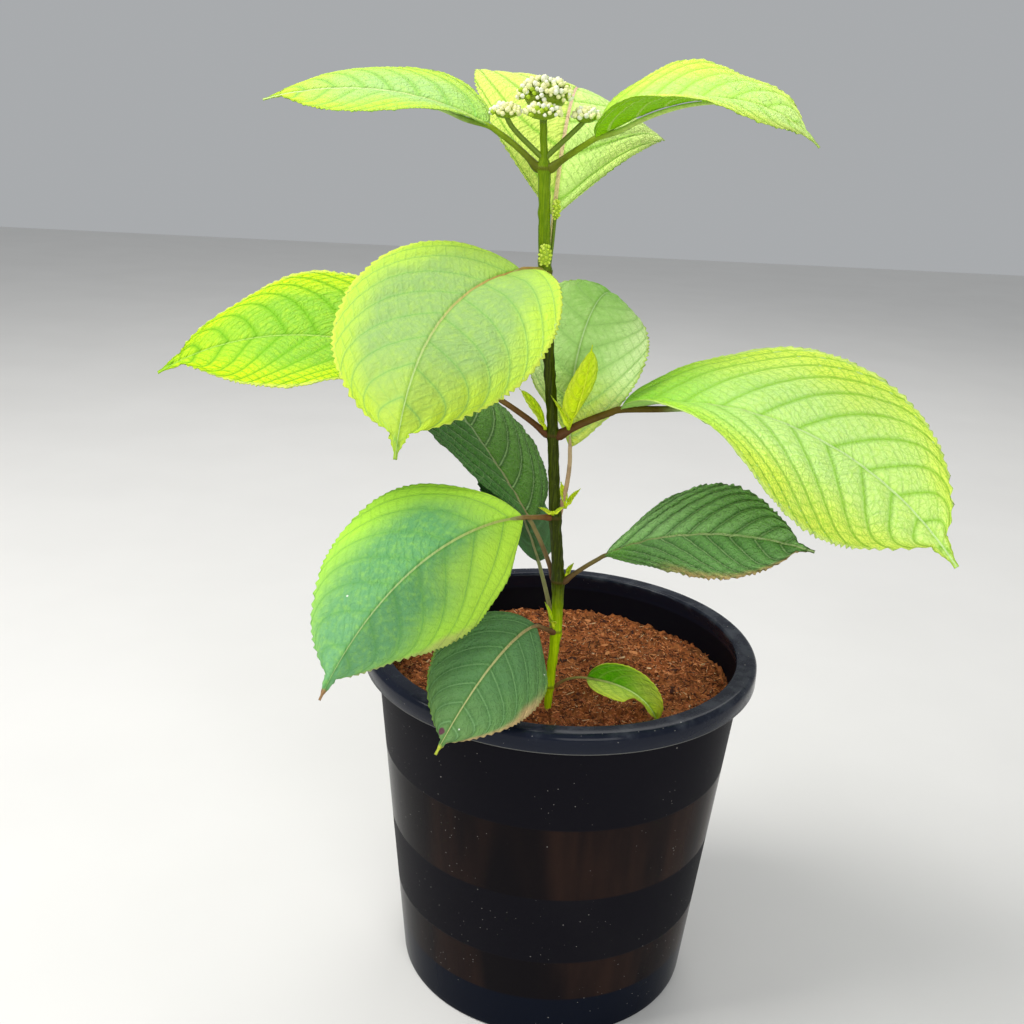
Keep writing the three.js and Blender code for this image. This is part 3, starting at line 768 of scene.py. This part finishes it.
def bladeMaterial(name, leaf):
    graph = Graph(name + "Blade")
    share, lateral, under = graph.split(graph.attribute("place"))
    phase, ladder, toEdge = graph.split(graph.attribute("veins"))
    size = leaf.length / 100
    flat = graph.vector(share * size, lateral * size, under)    # decimetres along and across
    out = lateral.abs()
    row = phase.math("FLOOR")
    step = ladder + row * 0.37
    fromVein = ((phase + 0.5).math("FRACT") - 0.5).abs() * (leaf.length / leaf.veins * 0.85)    # mm
    fromStep = ((step + 0.5).math("FRACT") - 0.5).abs() * leaf.ladder
    nearest = fromVein.math("MINIMUM", fromStep * 1.4 + leaf.stepDepth)
    cell = graph.vector(phase * 4.2, ladder * 1.5, row)
    net = graph.cells(cell, 1, "DISTANCE_TO_EDGE")
    fineNet = graph.cells(flat, 62, "DISTANCE_TO_EDGE")
    mesh = (net.ramp(0.085, 0.02) * 0.75 + fineNet.ramp(0.12, 0.02) * 0.35).clip()
    drift = graph.noise(flat, leaf.patchScale) - 0.5
    mottle = graph.noise(flat, 26, 4, 0.6)
    toMargin = toEdge + drift * 0.7 - share * leaf.edgeLean
    toMargin = toMargin.ramp(leaf.edgeFrom, leaf.edgeTo)
    toTip = (share + drift * 0.35).ramp(0.55, 0.95)
    toBase = (share + drift * 0.2).ramp(leaf.baseReach, 0.02)
    halves, marks = [], []
    # One half in its own colour: painted light and shade for how that half faces the lamps, with some tint of
    # its own.
    if leaf.halves:
        colour, amount, start, end = leaf.halves
        half = (lateral if amount > 0 else -lateral).ramp(*leaf.halfEdge)
        half = half * (share + drift * 0.5).ramp(end, start)
        halves = [(half * abs(amount), colour)]
    if leaf.rimLine:
        marks.append((toEdge.ramp(0.94, 0.99) * 0.7, leaf.rimLine))
    if leaf.scorch:
        colour, side, amount = leaf.scorch
        half = lateral.ramp(0, 0.02 * side)
        burnt = (toEdge + drift * 0.35).ramp(leaf.scorchFrom, 0.97) * half * share.ramp(0.25, 0.5)
        marks.append((burnt * amount, colour))
    for along, across, radius, colour in leaf.marks:
        away = (share - along) ** 2 + (lateral - across) ** 2
        away = away.math("SQRT") * leaf.length * (0.7 + 0.6 * mottle)
        marks.append((away.ramp(radius, radius * 0.6), colour))
    outer = 0.3 + 0.7 * toEdge * toEdge
    fromRib = out * leaf.length - (leaf.ribWidth - 0.8 * share)    # mm
    tissue = graph.coats(
        leaf.middle,
        (toMargin, leaf.margin),
        (toTip * leaf.tipShare, leaf.tip),
        (toBase * leaf.baseShare, leaf.base),
        *halves,
        (mottle.ramp(0.4, 0.75) * 0.3, leaf.mottle),
        # Paler, bluer pillows between the veins: partly the tissue's own paleness, partly painted highlight
        # on the pillow tops.
        (nearest.ramp(0.8, 4.2) * leaf.liftShare, leaf.lift, "MULTIPLY"),
        # Colour near the veins: the veins' own greener halo, and on the quilted base leaves painted shade in
        # the valleys.
        (nearest.ramp(leaf.haloWidth, 0.4) * leaf.haloShare, leaf.halo),
        (mesh * (leaf.netShare * (0.45 + 0.55 * toEdge)), leaf.net),
        (fromStep.ramp(0.55, 0.12) * outer * leaf.stepShare, leaf.vein),
        (fromVein.ramp(0.8, 0.15) * leaf.veinShare, leaf.vein),
        # Painted shade in the groove along each side of the midrib.
        (fromRib.ramp(1.9, 0.1) * 0.8, leaf.beside, "MULTIPLY"),
        (fromRib.ramp(0.35, -0.2), graph.mix(share.ramp(0, leaf.ribFade), leaf.ribBase, leaf.rib)),
        *marks,
    )
    below = graph.coats(leaf.under, (leaf.topShare, tissue), (fromVein.ramp(1.1, 0.3) * 0.6, leaf.rib))
    colour = graph.mix(under, tissue, below)
    height = (fromVein.ramp(0, 2.4) * 0.7 + fromStep.ramp(0, 1.5) * 0.4 + net.ramp(0, 0.25) * 0.5
              + fineNet.ramp(0, 0.25) * 0.2 + mottle * 0.2)
    normal = graph.bump(height, 0.0009, leaf.bump)
    rough = 0.5 + 0.14 * mottle + 0.1 * under
    return graph.finish(baseColor=colour, roughness=rough, normal=normal, specular=leaf.shine)


def stalkMaterial(name, leaf):
    graph = Graph(name + "Stalk")
    stalkPart = graph.split(graph.attribute("place"))[1]
    streak = graph.noise(graph.coordinates(), 240, 4, 0.6)
    colour = graph.coats(
        leaf.stalkStart,
        (stalkPart.ramp(0, 1.1), leaf.stalkEnd),
        (stalkPart.ramp(leaf.ribStart, 2.2), leaf.rib),
        (streak.ramp(0.4, 0.7) * 0.6, (0.6, 0.55, 0.5), "MULTIPLY"),
    )
    normal = graph.bump(streak, 0.0003, 0.6)
    return graph.finish(baseColor=colour, roughness=0.45, normal=normal, specular=0.14)


def leafMaterials(name, leaf):
    return [bladeMaterial(name, leaf), stalkMaterial(name, leaf)]


leaves = {
    "leafTopLeft": dict(
        joint="top", turn=172, stalk=34, rise=45, bow=-18, girth=3.8, length=121, width=79, droop=44,
        late=0.9, sweep=22, roll=13, twist=10, fold=21, open=-24, cup=11, teeth=40, quilt=0.9, seed=3,
        middle=(0.4, 0.67, 0.2), margin=(0.55, 0.8, 0.06), vein=(0.28, 0.6, 0.12), rib=(0.62, 0.78, 0.32),
        ribBase=(0.5, 0.62, 0.16), stalkStart=(0.13, 0.15, 0.01), stalkEnd=(0.22, 0.34, 0.01),
        base=(0.3, 0.55, 0.05), baseShare=0.6, edgeFrom=0.3, tip=(0.62, 0.8, 0.02), tipShare=0.9,
        halo=(0.3, 0.6, 0.06), haloShare=0.5,
    ),
    "leafTopRight": dict(
        joint="top", turn=-16, stalk=29, rise=38, bow=-6, girth=3.8, length=123, width=80, droop=79,
        late=1.5, sweep=1, roll=-9, twist=-11, fold=34, open=-33, cup=10, taper=0.9, teeth=40, seed=4,
        middle=(0.48, 0.78, 0.16), margin=(0.7, 0.9, 0.1), vein=(0.36, 0.7, 0.06), rib=(0.6, 0.78, 0.2),
        ribBase=(0.5, 0.6, 0.12), stalkStart=(0.13, 0.15, 0.01), stalkEnd=(0.24, 0.36, 0.01),
        base=(0.26, 0.62, 0.02), baseShare=0.8, under=(0.3, 0.64, 0), topShare=0.06,
        tip=(0.8, 0.95, 0.42),
    ),
    "leafUpperBack": dict(
        joint="upper", turn=80, stalk=33, rise=36, bow=40, girth=3.2, length=191, width=122, droop=120,
        sweep=6, roll=-11, twist=-9, fold=6, open=-11, cup=18, shoulder=1, taper=0.6, teeth=50, quilt=1.3,
        stations=230, seed=5,
        middle=(0.62, 0.9, 0.22), margin=(0.7, 0.92, 0.22), vein=(0.3, 0.6, 0.05), rib=(0.75, 0.5, 0.35),
        ribBase=(0.62, 0.52, 0.22), stalkStart=(0.42, 0.45, 0.1),
        halves=((0.68, 0.8, 0.09), -0.6, 1.5, 2), haloShare=0.6,
    ),
    "leafUpperFront": dict(
        joint="upper", turn=232, stalk=17, rise=17, bow=-19, girth=3.6, length=165, width=109, droop=48,
        late=1.1, sweep=36, roll=10, twist=1, fold=24, open=-53, cup=6, teeth=42, tooth=2.6, quilt=1.2,
        seed=6,
        middle=(0.3, 0.48, 0.15), margin=(0.52, 0.77, 0.06), vein=(0.2, 0.44, 0.09),
        rib=(0.42, 0.58, 0.2), ribBase=(0.45, 0.26, 0.07), ribFade=0.8, stalkStart=(0.4, 0.42, 0.08),
        edgeFrom=0.5, edgeTo=1, tipShare=0.7, halo=(0.27, 0.52, 0.13), rimLine=(0.7, 0.84, 0.1), bump=0.4,
        lift=(1.06, 1.05, 1.08), veinShare=0.55, base=(0.52, 0.78, 0.08), baseShare=0.6,
        tip=(0.48, 0.66, 0.02), ribWidth=0.9, netShare=0.22, stepShare=0.25, haloShare=0.25,
        haloWidth=3.2,
    ),
    "leafMidLeft": dict(
        joint="mid", turn=169, stalk=67, rise=36, bow=-17, girth=3.6, length=175, width=114, droop=52,
        late=1.3, sweep=17, roll=14, twist=26, fold=18, open=-16, cup=9, taper=0.97, teeth=44, quilt=1.1,
        seed=7, veins=10, ladder=4.6,
        middle=(0.28, 0.58, 0.05), margin=(0.68, 0.9, 0.01), vein=(0.18, 0.48, 0.01),
        net=(0.2, 0.54, 0.01), netShare=0.75, halo=(0.2, 0.52, 0.01), haloShare=0.6,
        rib=(0.42, 0.68, 0.12), ribBase=(0.5, 0.6, 0.15), stalkStart=(0.1, 0.035, 0.012),
        stalkEnd=(0.25, 0.16, 0.04), rimLine=(0.8, 0.88, 0.2), stepShare=0.6, tip=(0.56, 0.85, 0),
        tipShare=0.7, haloWidth=3.2, ribWidth=0.85,
    ),
    "leafMidRight": dict(
        joint="mid", turn=-5, stalk=38, rise=34, bow=-14, girth=4.6, length=213, width=144, droop=70,
        late=0.8, sweep=-23, roll=9, twist=-65, fold=18, open=-18, cup=8, teeth=50, quilt=1.5, tooth=2.8,
        stations=250, columns=36, seed=8, veins=10, lean=0.65,
        middle=(0.6, 0.9, 0.3), margin=(0.79, 1, 0.12), vein=(0.28, 0.62, 0.02), net=(0.3, 0.66, 0.03),
        netShare=0.75, halo=(0.3, 0.66, 0.03), haloShare=0.5, rib=(0.62, 0.86, 0.34),
        ribBase=(0.42, 0.66, 0.12), stalkStart=(0.11, 0.04, 0.014), stalkEnd=(0.13, 0.085, 0.01),
        base=(0.24, 0.66, 0), baseShare=0.9, tip=(0.7, 0.92, 0.18), rimLine=(0.74, 0.96, 0.26),
        veinShare=0.5, beside=(0.72, 0.84, 0.5), stepShare=0.3, baseReach=0.42, edgeFrom=0.32,
        haloWidth=2.8, mottle=(0.6, 0.86, 0.08), lift=(1.22, 1.15, 1), ribStart=1.6,
    ),
    "leafLowFront": dict(
        joint="low", turn=217, stalk=20, rise=11, bow=-3, length=164, width=105, droop=62, late=0.8,
        sweep=16, roll=49, twist=-2, fold=-16, open=-10, cup=18, teeth=42, quilt=0.8, tooth=2.2, seed=9,
        middle=(0.13, 0.36, 0.13), margin=(0.42, 0.78, 0.06), vein=(0.12, 0.36, 0.09),
        rib=(0.4, 0.55, 0.22), ribBase=(0.42, 0.46, 0.12), stalkStart=(0.16, 0.05, 0.02),
        stalkEnd=(0.26, 0.15, 0.05), base=(0.5, 0.82, 0.05), baseShare=0.9, edgeFrom=0.22, edgeTo=0.78,
        tipShare=0.8, halo=(0.16, 0.42, 0.1), halves=((0.5, 0.82, 0.06), -0.9, 0.15, 0.62),
        tip=(0.17, 0.42, 0.18), scorch=((0.55, 0.42, 0.2), -1, 0.5), haloShare=0.1, veinShare=0.38,
        ribWidth=0.8, bump=0.5,
        marks=[
            (0.678, 0.104, 0.65, (0.8, 0.82, 0.72)),
            (0.985, 0, 4.5, (0.34, 0.2, 0.09)),
        ],
        netShare=0.08, stepShare=0.1, patchScale=1.5, halfEdge=(-0.01, 0.1), edgeLean=0.4,
    ),
    "leafLowBack": dict(
        joint="low", turn=58, stalk=41, rise=54, bow=46, length=128, width=78, droop=129, late=1.6,
        sweep=13, roll=12, twist=-42, fold=-14, open=27, cup=30, shoulder=0.84, taper=0.74, seed=10,
        middle=(0.44, 0.74, 0.2), margin=(0.76, 0.96, 0.42), vein=(0.34, 0.62, 0.16),
        rib=(0.55, 0.76, 0.36), ribBase=(0.6, 0.74, 0.3), stalkStart=(0.5, 0.3, 0.18),
        stalkEnd=(0.58, 0.42, 0.24), halo=(0.44, 0.74, 0.2), rimLine=(0.62, 0.8, 0.12), ribWidth=0.75,
        tip=(0.2, 0.53, 0.02), tipShare=0.9, veinShare=0.5, base=(0.78, 0.88, 0.04), baseShare=0.75,
        baseReach=0.45, edgeFrom=0.32,
    ),
    "leafBaseRight": dict(
        joint="base", turn=-14, stalk=31, rise=45, bow=-10, length=121, width=79, droop=45, late=0.8,
        sweep=-5, roll=1, twist=-49, fold=14, open=-9, cup=10, quilt=2.4, teeth=36, seed=11, veins=9,
        lean=0.8, rungs=0.3, ladder=5,
        middle=(0.12, 0.29, 0.075), margin=(0.12, 0.3, 0.07), vein=(0.36, 0.53, 0.24),
        rib=(0.5, 0.62, 0.3), ribBase=(0.3, 0.34, 0.12), stalkStart=(0.12, 0.065, 0.025),
        stalkEnd=(0.2, 0.16, 0.05), scorch=((0.68, 0.47, 0.2), 1, 0.95), netShare=0.2, bump=1.1,
        # Painted shade in the valleys, painted highlights on the pillows and one half painted lighter.
        tipShare=0.1, mottle=(0.13, 0.3, 0.09), halo=(0.03, 0.12, 0.025), haloShare=0.65, haloWidth=1.7,
        liftShare=0.8, lift=(1.7, 1.5, 1.7), stepDepth=3, veinShare=0.9, scorchFrom=0.8, stepShare=0.5,
        base=(0.12, 0.36, 0.02), baseShare=0.8, baseReach=0.25, halves=((0.3, 0.56, 0.2), -0.62, 1.5, 2),
    ),
    "leafBaseLeft": dict(
        joint="base", turn=135, stalk=38, rise=64, bow=-20, length=164, width=106, droop=22, sweep=-1,
        roll=-20, twist=10, fold=13, open=-11, cup=11, quilt=1.9, teeth=40, seed=12, veins=10, lean=0.6,
        rungs=0.24,
        middle=(0.055, 0.185, 0.02), margin=(0.06, 0.19, 0.04), vein=(0.3, 0.46, 0.18),
        rib=(0.26, 0.4, 0.18), ribBase=(0.32, 0.3, 0.14), stalkStart=(0.16, 0.07, 0.03),
        # Painted shade in the valleys, painted highlights on the pillows and one half painted lighter.
        stalkEnd=(0.3, 0.24, 0.1), halves=((0.12, 0.27, 0.03), 0.6, 1.5, 2), netShare=0.2, bump=1,
        halo=(0.02, 0.075, 0.012), haloShare=0.7, liftShare=0.7, stepDepth=3, veinShare=0.9,
        haloWidth=2.4,
    ),
    "leafFootFront": dict(
        joint="foot2", turn=238, stalk=23, rise=31, bow=-4, length=106, width=70, droop=72, late=0.4,
        sweep=-4, roll=38, twist=-27, fold=-7, open=-7, cup=15, quilt=1.1, tooth=1.5, seed=13,
        middle=(0.1, 0.235, 0.08), margin=(0.12, 0.26, 0.07), vein=(0.2, 0.38, 0.15),
        rib=(0.5, 0.5, 0.22), ribBase=(0.45, 0.36, 0.16), stalkStart=(0.15, 0.06, 0.03),
        stalkEnd=(0.25, 0.15, 0.06), scorch=((0.6, 0.42, 0.2), -1, 0.95), netShare=0.25,
        tip=(0.5, 0.6, 0.08), tipShare=0.1, halo=(0.06, 0.17, 0.05), haloShare=0.5,
        rimLine=(0.3, 0.5, 0.06), ribWidth=0.85,
        marks=[
            (0.881, 0.034, 2.6, (0.13, 0.05, 0.07)),
            (0.831, -0.044, 0.55, (0.75, 0.78, 0.7)),
            (0.203, -0.247, 0.55, (0.75, 0.78, 0.7)),
            (0.985, 0, 5, (0.5, 0.56, 0.06)),
        ],
        scorchFrom=0.83,
    ),
    "leafFootBack": dict(
        joint="foot2", turn=116, stalk=42, rise=62, bow=-16, length=108, width=62, droop=34, late=0.9,
        roll=-24, twist=-6, fold=8, open=-8, cup=13, teeth=32, seed=14,
        middle=(0.055, 0.13, 0.035), margin=(0.07, 0.19, 0.06), vein=(0.1, 0.24, 0.09),
        rib=(0.25, 0.36, 0.2), ribBase=(0.4, 0.34, 0.16), stalkStart=(0.42, 0.34, 0.16),
        stalkEnd=(0.36, 0.36, 0.16),
    ),
    "leafSoilRight": dict(
        joint="soil", turn=-15, stalk=22, rise=50, bow=-50, girth=1.8, length=56, width=36, droop=80,
        late=1.7, sweep=5, roll=-58, twist=8, fold=50, open=15, cup=6, quilt=0.4, teeth=18, tooth=0.7,
        veins=7, wave=0.5, stations=170, columns=16, thick=0.55, seed=15, bite=(0.6, 1, 0.62, 0.12),
        middle=(0.74, 0.92, 0.14), margin=(0.84, 1, 0.1), vein=(0.4, 0.62, 0.1), rib=(0.7, 0.9, 0.3),
        ribBase=(0.35, 0.4, 0.1), stalkStart=(0.2, 0.09, 0.03), stalkEnd=(0.3, 0.3, 0.08),
        halves=((0.1, 0.42, 0), -1, 0.25, 0.85), tip=(0.82, 1, 0.02), tipShare=0.8, veinShare=0.35,
        rimLine=(0.8, 0.95, 0.05), haloShare=0.1, netShare=0.1, stepShare=0.1, mottle=(0.3, 0.6, 0.02),
    ),
}


def makeLeaves():
    for name, spec in leaves.items():
        leaf = fullLeaf(spec)
        centre = stemPoint(leaf.joint)
        start = centre + blade["axil"] * heading(0.0, rad(leaf.turn))
        build = Build()
        leafInto(build, leaf, start, centre)
        build.piece(name + "Piece", leafMaterials(name, leaf), name, name)


makeLeaves()
print("leaves made")


# Small shoots in the axils

youngLeaf = dict(
    stalk=2, bow=0, droop=15, roll=0, twist=0, fold=20, open=-20, cup=10, girth=1.6, stations=70,
    columns=10, veins=6, quilt=0.25, teeth=12, tooth=0.35, wave=0.15, thick=0.5, stalkRings=40,
    middle=(0.8, 1, 0.02), margin=(0.92, 1, 0.14), vein=(0.56, 0.88, 0.01), rib=(0.74, 0.88, 0.04),
    ribBase=(0.6, 0.76, 0.01), stalkStart=(0.4, 0.56, 0.01), netShare=0.1, shine=0.06,
    mottle=(0.68, 0.96, 0.03),
)
shoots = {    # joint, start from it, and the young leaves
    "shootMidRight": ("mid", (8.4, -3, 5), [
        dict(turn=-38, rise=70, stalk=6, length=45, width=27, droop=-14),
        dict(turn=215, rise=66, length=21, width=10, sweep=-30),
    ]),
    "shootMidLeft": ("mid", (-4.6, -1.5, 4), [
        dict(turn=200, rise=62, length=27, width=14, roll=30),
    ]),
    "shootLowRight": ("low", (5.8, 5, 4.5), [
        dict(turn=120, rise=72, length=13, width=5),
        dict(turn=20, rise=58, length=12, width=5),
    ]),
    "shootLowFront": ("low", (-1.6, -4.6, 3.4), [
        dict(turn=190, rise=32, stalk=1, length=8.5, width=4),
        dict(turn=350, rise=45, stalk=1, length=7.5, width=4),
    ]),
    "shootBaseRight": ("base", (4.4, 0, 3.2), [
        dict(turn=30, rise=66, stalk=1, length=8, width=4),
    ]),
    "shootFoot": ("foot2", (-1.6, -4.2, 3.4), [
        dict(turn=170, rise=76, stalk=3, length=14, width=6),
        dict(turn=250, rise=68, stalk=2, length=9, width=5, droop=60),
    ]),
}


def makeShoots():
    materials = leafMaterials("shoot", fullLeaf({**youngLeaf, "length": 42}))    # veins as on 42 mm
    for name, (joint, offset, pair) in shoots.items():
        start = stemPoint(joint) + offset
        build = Build()
        for i, young in enumerate(pair):
            window = (i / len(pair), 0, (i + 1) / len(pair), 1)
            leafInto(build, fullLeaf({**youngLeaf, **young}), start, start - (0, 0, 1), window)
        build.piece(name + "Piece", materials, name, "shoot")


makeShoots()
print("shoots made")


# Flower head in tight bud, and the knobbly bud clusters

heads = {    # joint, then domes of buds, each on its own stalk
    "headMiddle": ("tip", [
        dict(stalk=[(0, 0, -1), (0.4, 0, 10)], thick=(3.8, 5), at=(0.4, 0, 12.8), size=(13.4, 12.5, 9),
             buds=130),
        dict(stalk=[(0, 0, 1.5), (-0.5, -9, 3.5)], thick=(2.6, 3), at=(-0.5, -10, 4.6), size=(9, 7, 4.4),
             buds=58),
    ]),
    "headLeft": ("neck", [
        dict(stalk=[(-0.6, 0, -1), (-15.6, 0, 12), (-20.6, 0, 19)], thick=(3, 2.6), at=(-21, 0, 21),
             size=(7.2, 7, 4), buds=52),
    ]),
    "headRight": ("neck", [
        dict(stalk=[(0.6, 0, -1), (16.2, 0, 14.4), (19.8, 0, 18.6)], thick=(3, 2.6), at=(20.8, 0, 20.6),
             size=(6.8, 6.6, 4), buds=46),
    ]),
}
clusters = {
    "budUpper": ("upper", [
        dict(stalk=[(2.6, 4.2, 3), (3.4, 3.4, 14), (3.9, 0.6, 27)], thick=(1.6, 2), at=(4.4, 0, 33),
             size=(1.9, 1.9, 5.2), buds=34),
    ]),
    "budFront": ("upper", [
        dict(stalk=[(0, -3, 3), (-0.2, -7, 8)], thick=(2, 3), at=(-0.4, -6.9, 9.5), size=(3.2, 2, 5.8),
             buds=40),
    ]),
}
budKinds = dict(    # the shades are for the core, then three kinds of bud
    flower=dict(
        radius=1.4, lowest=-0.15, core=0.8, long=1.35, footed=True,
        shades=[(0.26, 0.38, 0.004), (1, 1, 0.5), (0.46, 0.66, 0.015), (1, 1, 0.8)],
    ),
    knob=dict(
        radius=0.85, lowest=-0.92, core=0.9, long=1.05, footed=False,
        shades=[(0.4, 0.58, 0.02), (0.62, 0.82, 0.04), (0.5, 0.7, 0.02), (0.78, 0.93, 0.12)],
    ),
)
budRule = dict(    # green and stalk are places in the list of materials
    rings=7, sides=10, smallest=0.72, largest=1.12, spread=0.07, uneven=0.03, shares=(0.6, 0.1, 0.3),
    green=2, stalk=4, stalkShade=(0.16, 0.26, 0.004), darkest=0.72, thread=0.42,
)


def ball(centre, radius, way, long, rings, sides):    # lobed, and long times as long along way
    across = np.cross(way, (0.3, 0.2, 0.93))
    across /= np.linalg.norm(across)
    other = np.cross(way, across)
    angle = np.linspace(0.12, math.pi - 0.12, rings)
    turn = fullTurn(sides)
    lobe = 1 + 0.06 * np.cos(4 * turn)[None, :] * np.sin(angle)[:, None]
    flat = (np.sin(angle)[:, None] * lobe)[..., None]
    outward = np.cos(turn)[None, :, None] * across + np.sin(turn)[None, :, None] * other
    return centre + radius * (flat * outward + long * np.cos(angle)[:, None, None] * way)


def makeHead(name, joint, domes, bud, slot, materials):
    random = np.random.default_rng(len(name) * 7 + 3)
    base = stemPoint(joint)
    build = Build()
    parts = sum(dome["buds"] for dome in domes) + 4
    wide = math.ceil(math.sqrt(parts))
    index = 0

    def window():
        row, column = divmod(index, wide)
        return ((column + 0.05) / wide, (row + 0.05) / wide, (column + 0.95) / wide, (row + 0.95) / wide)

    for dome in domes:
        size = np.array(dome["size"], float)
        middle = base + dome["at"]
        path = alongPath([*(base + step for step in dome["stalk"]), middle], 30)
        radii = np.linspace(*dome["thick"], len(path)) / 2
        build.loft(tube(path, radii, 12), window(), slot=budRule["stalk"])
        index += 1
        up = np.array([0, 0, 1.0])
        core = ball(np.zeros(3), 1, up, 1, 18, 28)
        core = middle + core * size * bud["core"] * (1 + 0.05 * smoothNoise(core * 4, 2, 5)[..., None])
        build.loft(core, window())
        index += 1
        for i in range(dome["buds"]):
            height = 1 - (1 - bud["lowest"]) * (i + 0.5) / dome["buds"]
            spread = math.sqrt(1 - height * height)
            angle = i * goldenAngle
            way = np.array([spread * math.cos(angle), spread * math.sin(angle), height])
            way = way + random.normal(0, budRule["spread"], 3)
            way /= np.linalg.norm(way)
            lump = 1 + 0.07 * math.sin(3.1 * angle + 5 * height) + random.normal(0, budRule["uneven"])
            centre = middle + way * size * min(lump, 1.02)
            radius = bud["radius"] * random.uniform(budRule["smallest"], budRule["largest"])
            if bud["footed"]:
                foot = middle - (0, 0, size[2] * 0.75)
                thread = tube(np.linspace(foot, centre - way * radius, 4), np.full(4, budRule["thread"]), 6)
                build.loft(thread, window())
            rings, sides = budRule["rings"], budRule["sides"]
            faces = (rings - 1) * sides    # two caps come after them
            slots = np.full(faces + 2, 1 + int(random.choice(3, p=budRule["shares"])))
            if bud["footed"]:
                greenRings = 2 if height > 0.3 else 3
                slots[[*range(faces - greenRings * sides, faces), faces + 1]] = budRule["green"]    # its foot
            build.loft(ball(centre, radius, way, bud["long"], rings, sides), window(), slot=slots)
            index += 1
    build.piece(name + "Piece", materials, name, slot)


for kind, group, slot in [("flower", heads, "flowerHead"), ("knob", clusters, "shoot")]:
    materials = []
    for i, shade in enumerate([*budKinds[kind]["shades"], budRule["stalkShade"]]):
        dark = np.multiply(shade, budRule["darkest"])
        materials.append(grainMaterial("%sBud%d" % (kind, i), dark, shade, 700, 0.6))
    for name, (joint, domes) in group.items():
        makeHead(name, joint, domes, budKinds[kind], slot, materials)
print("flower heads and bud clusters made")
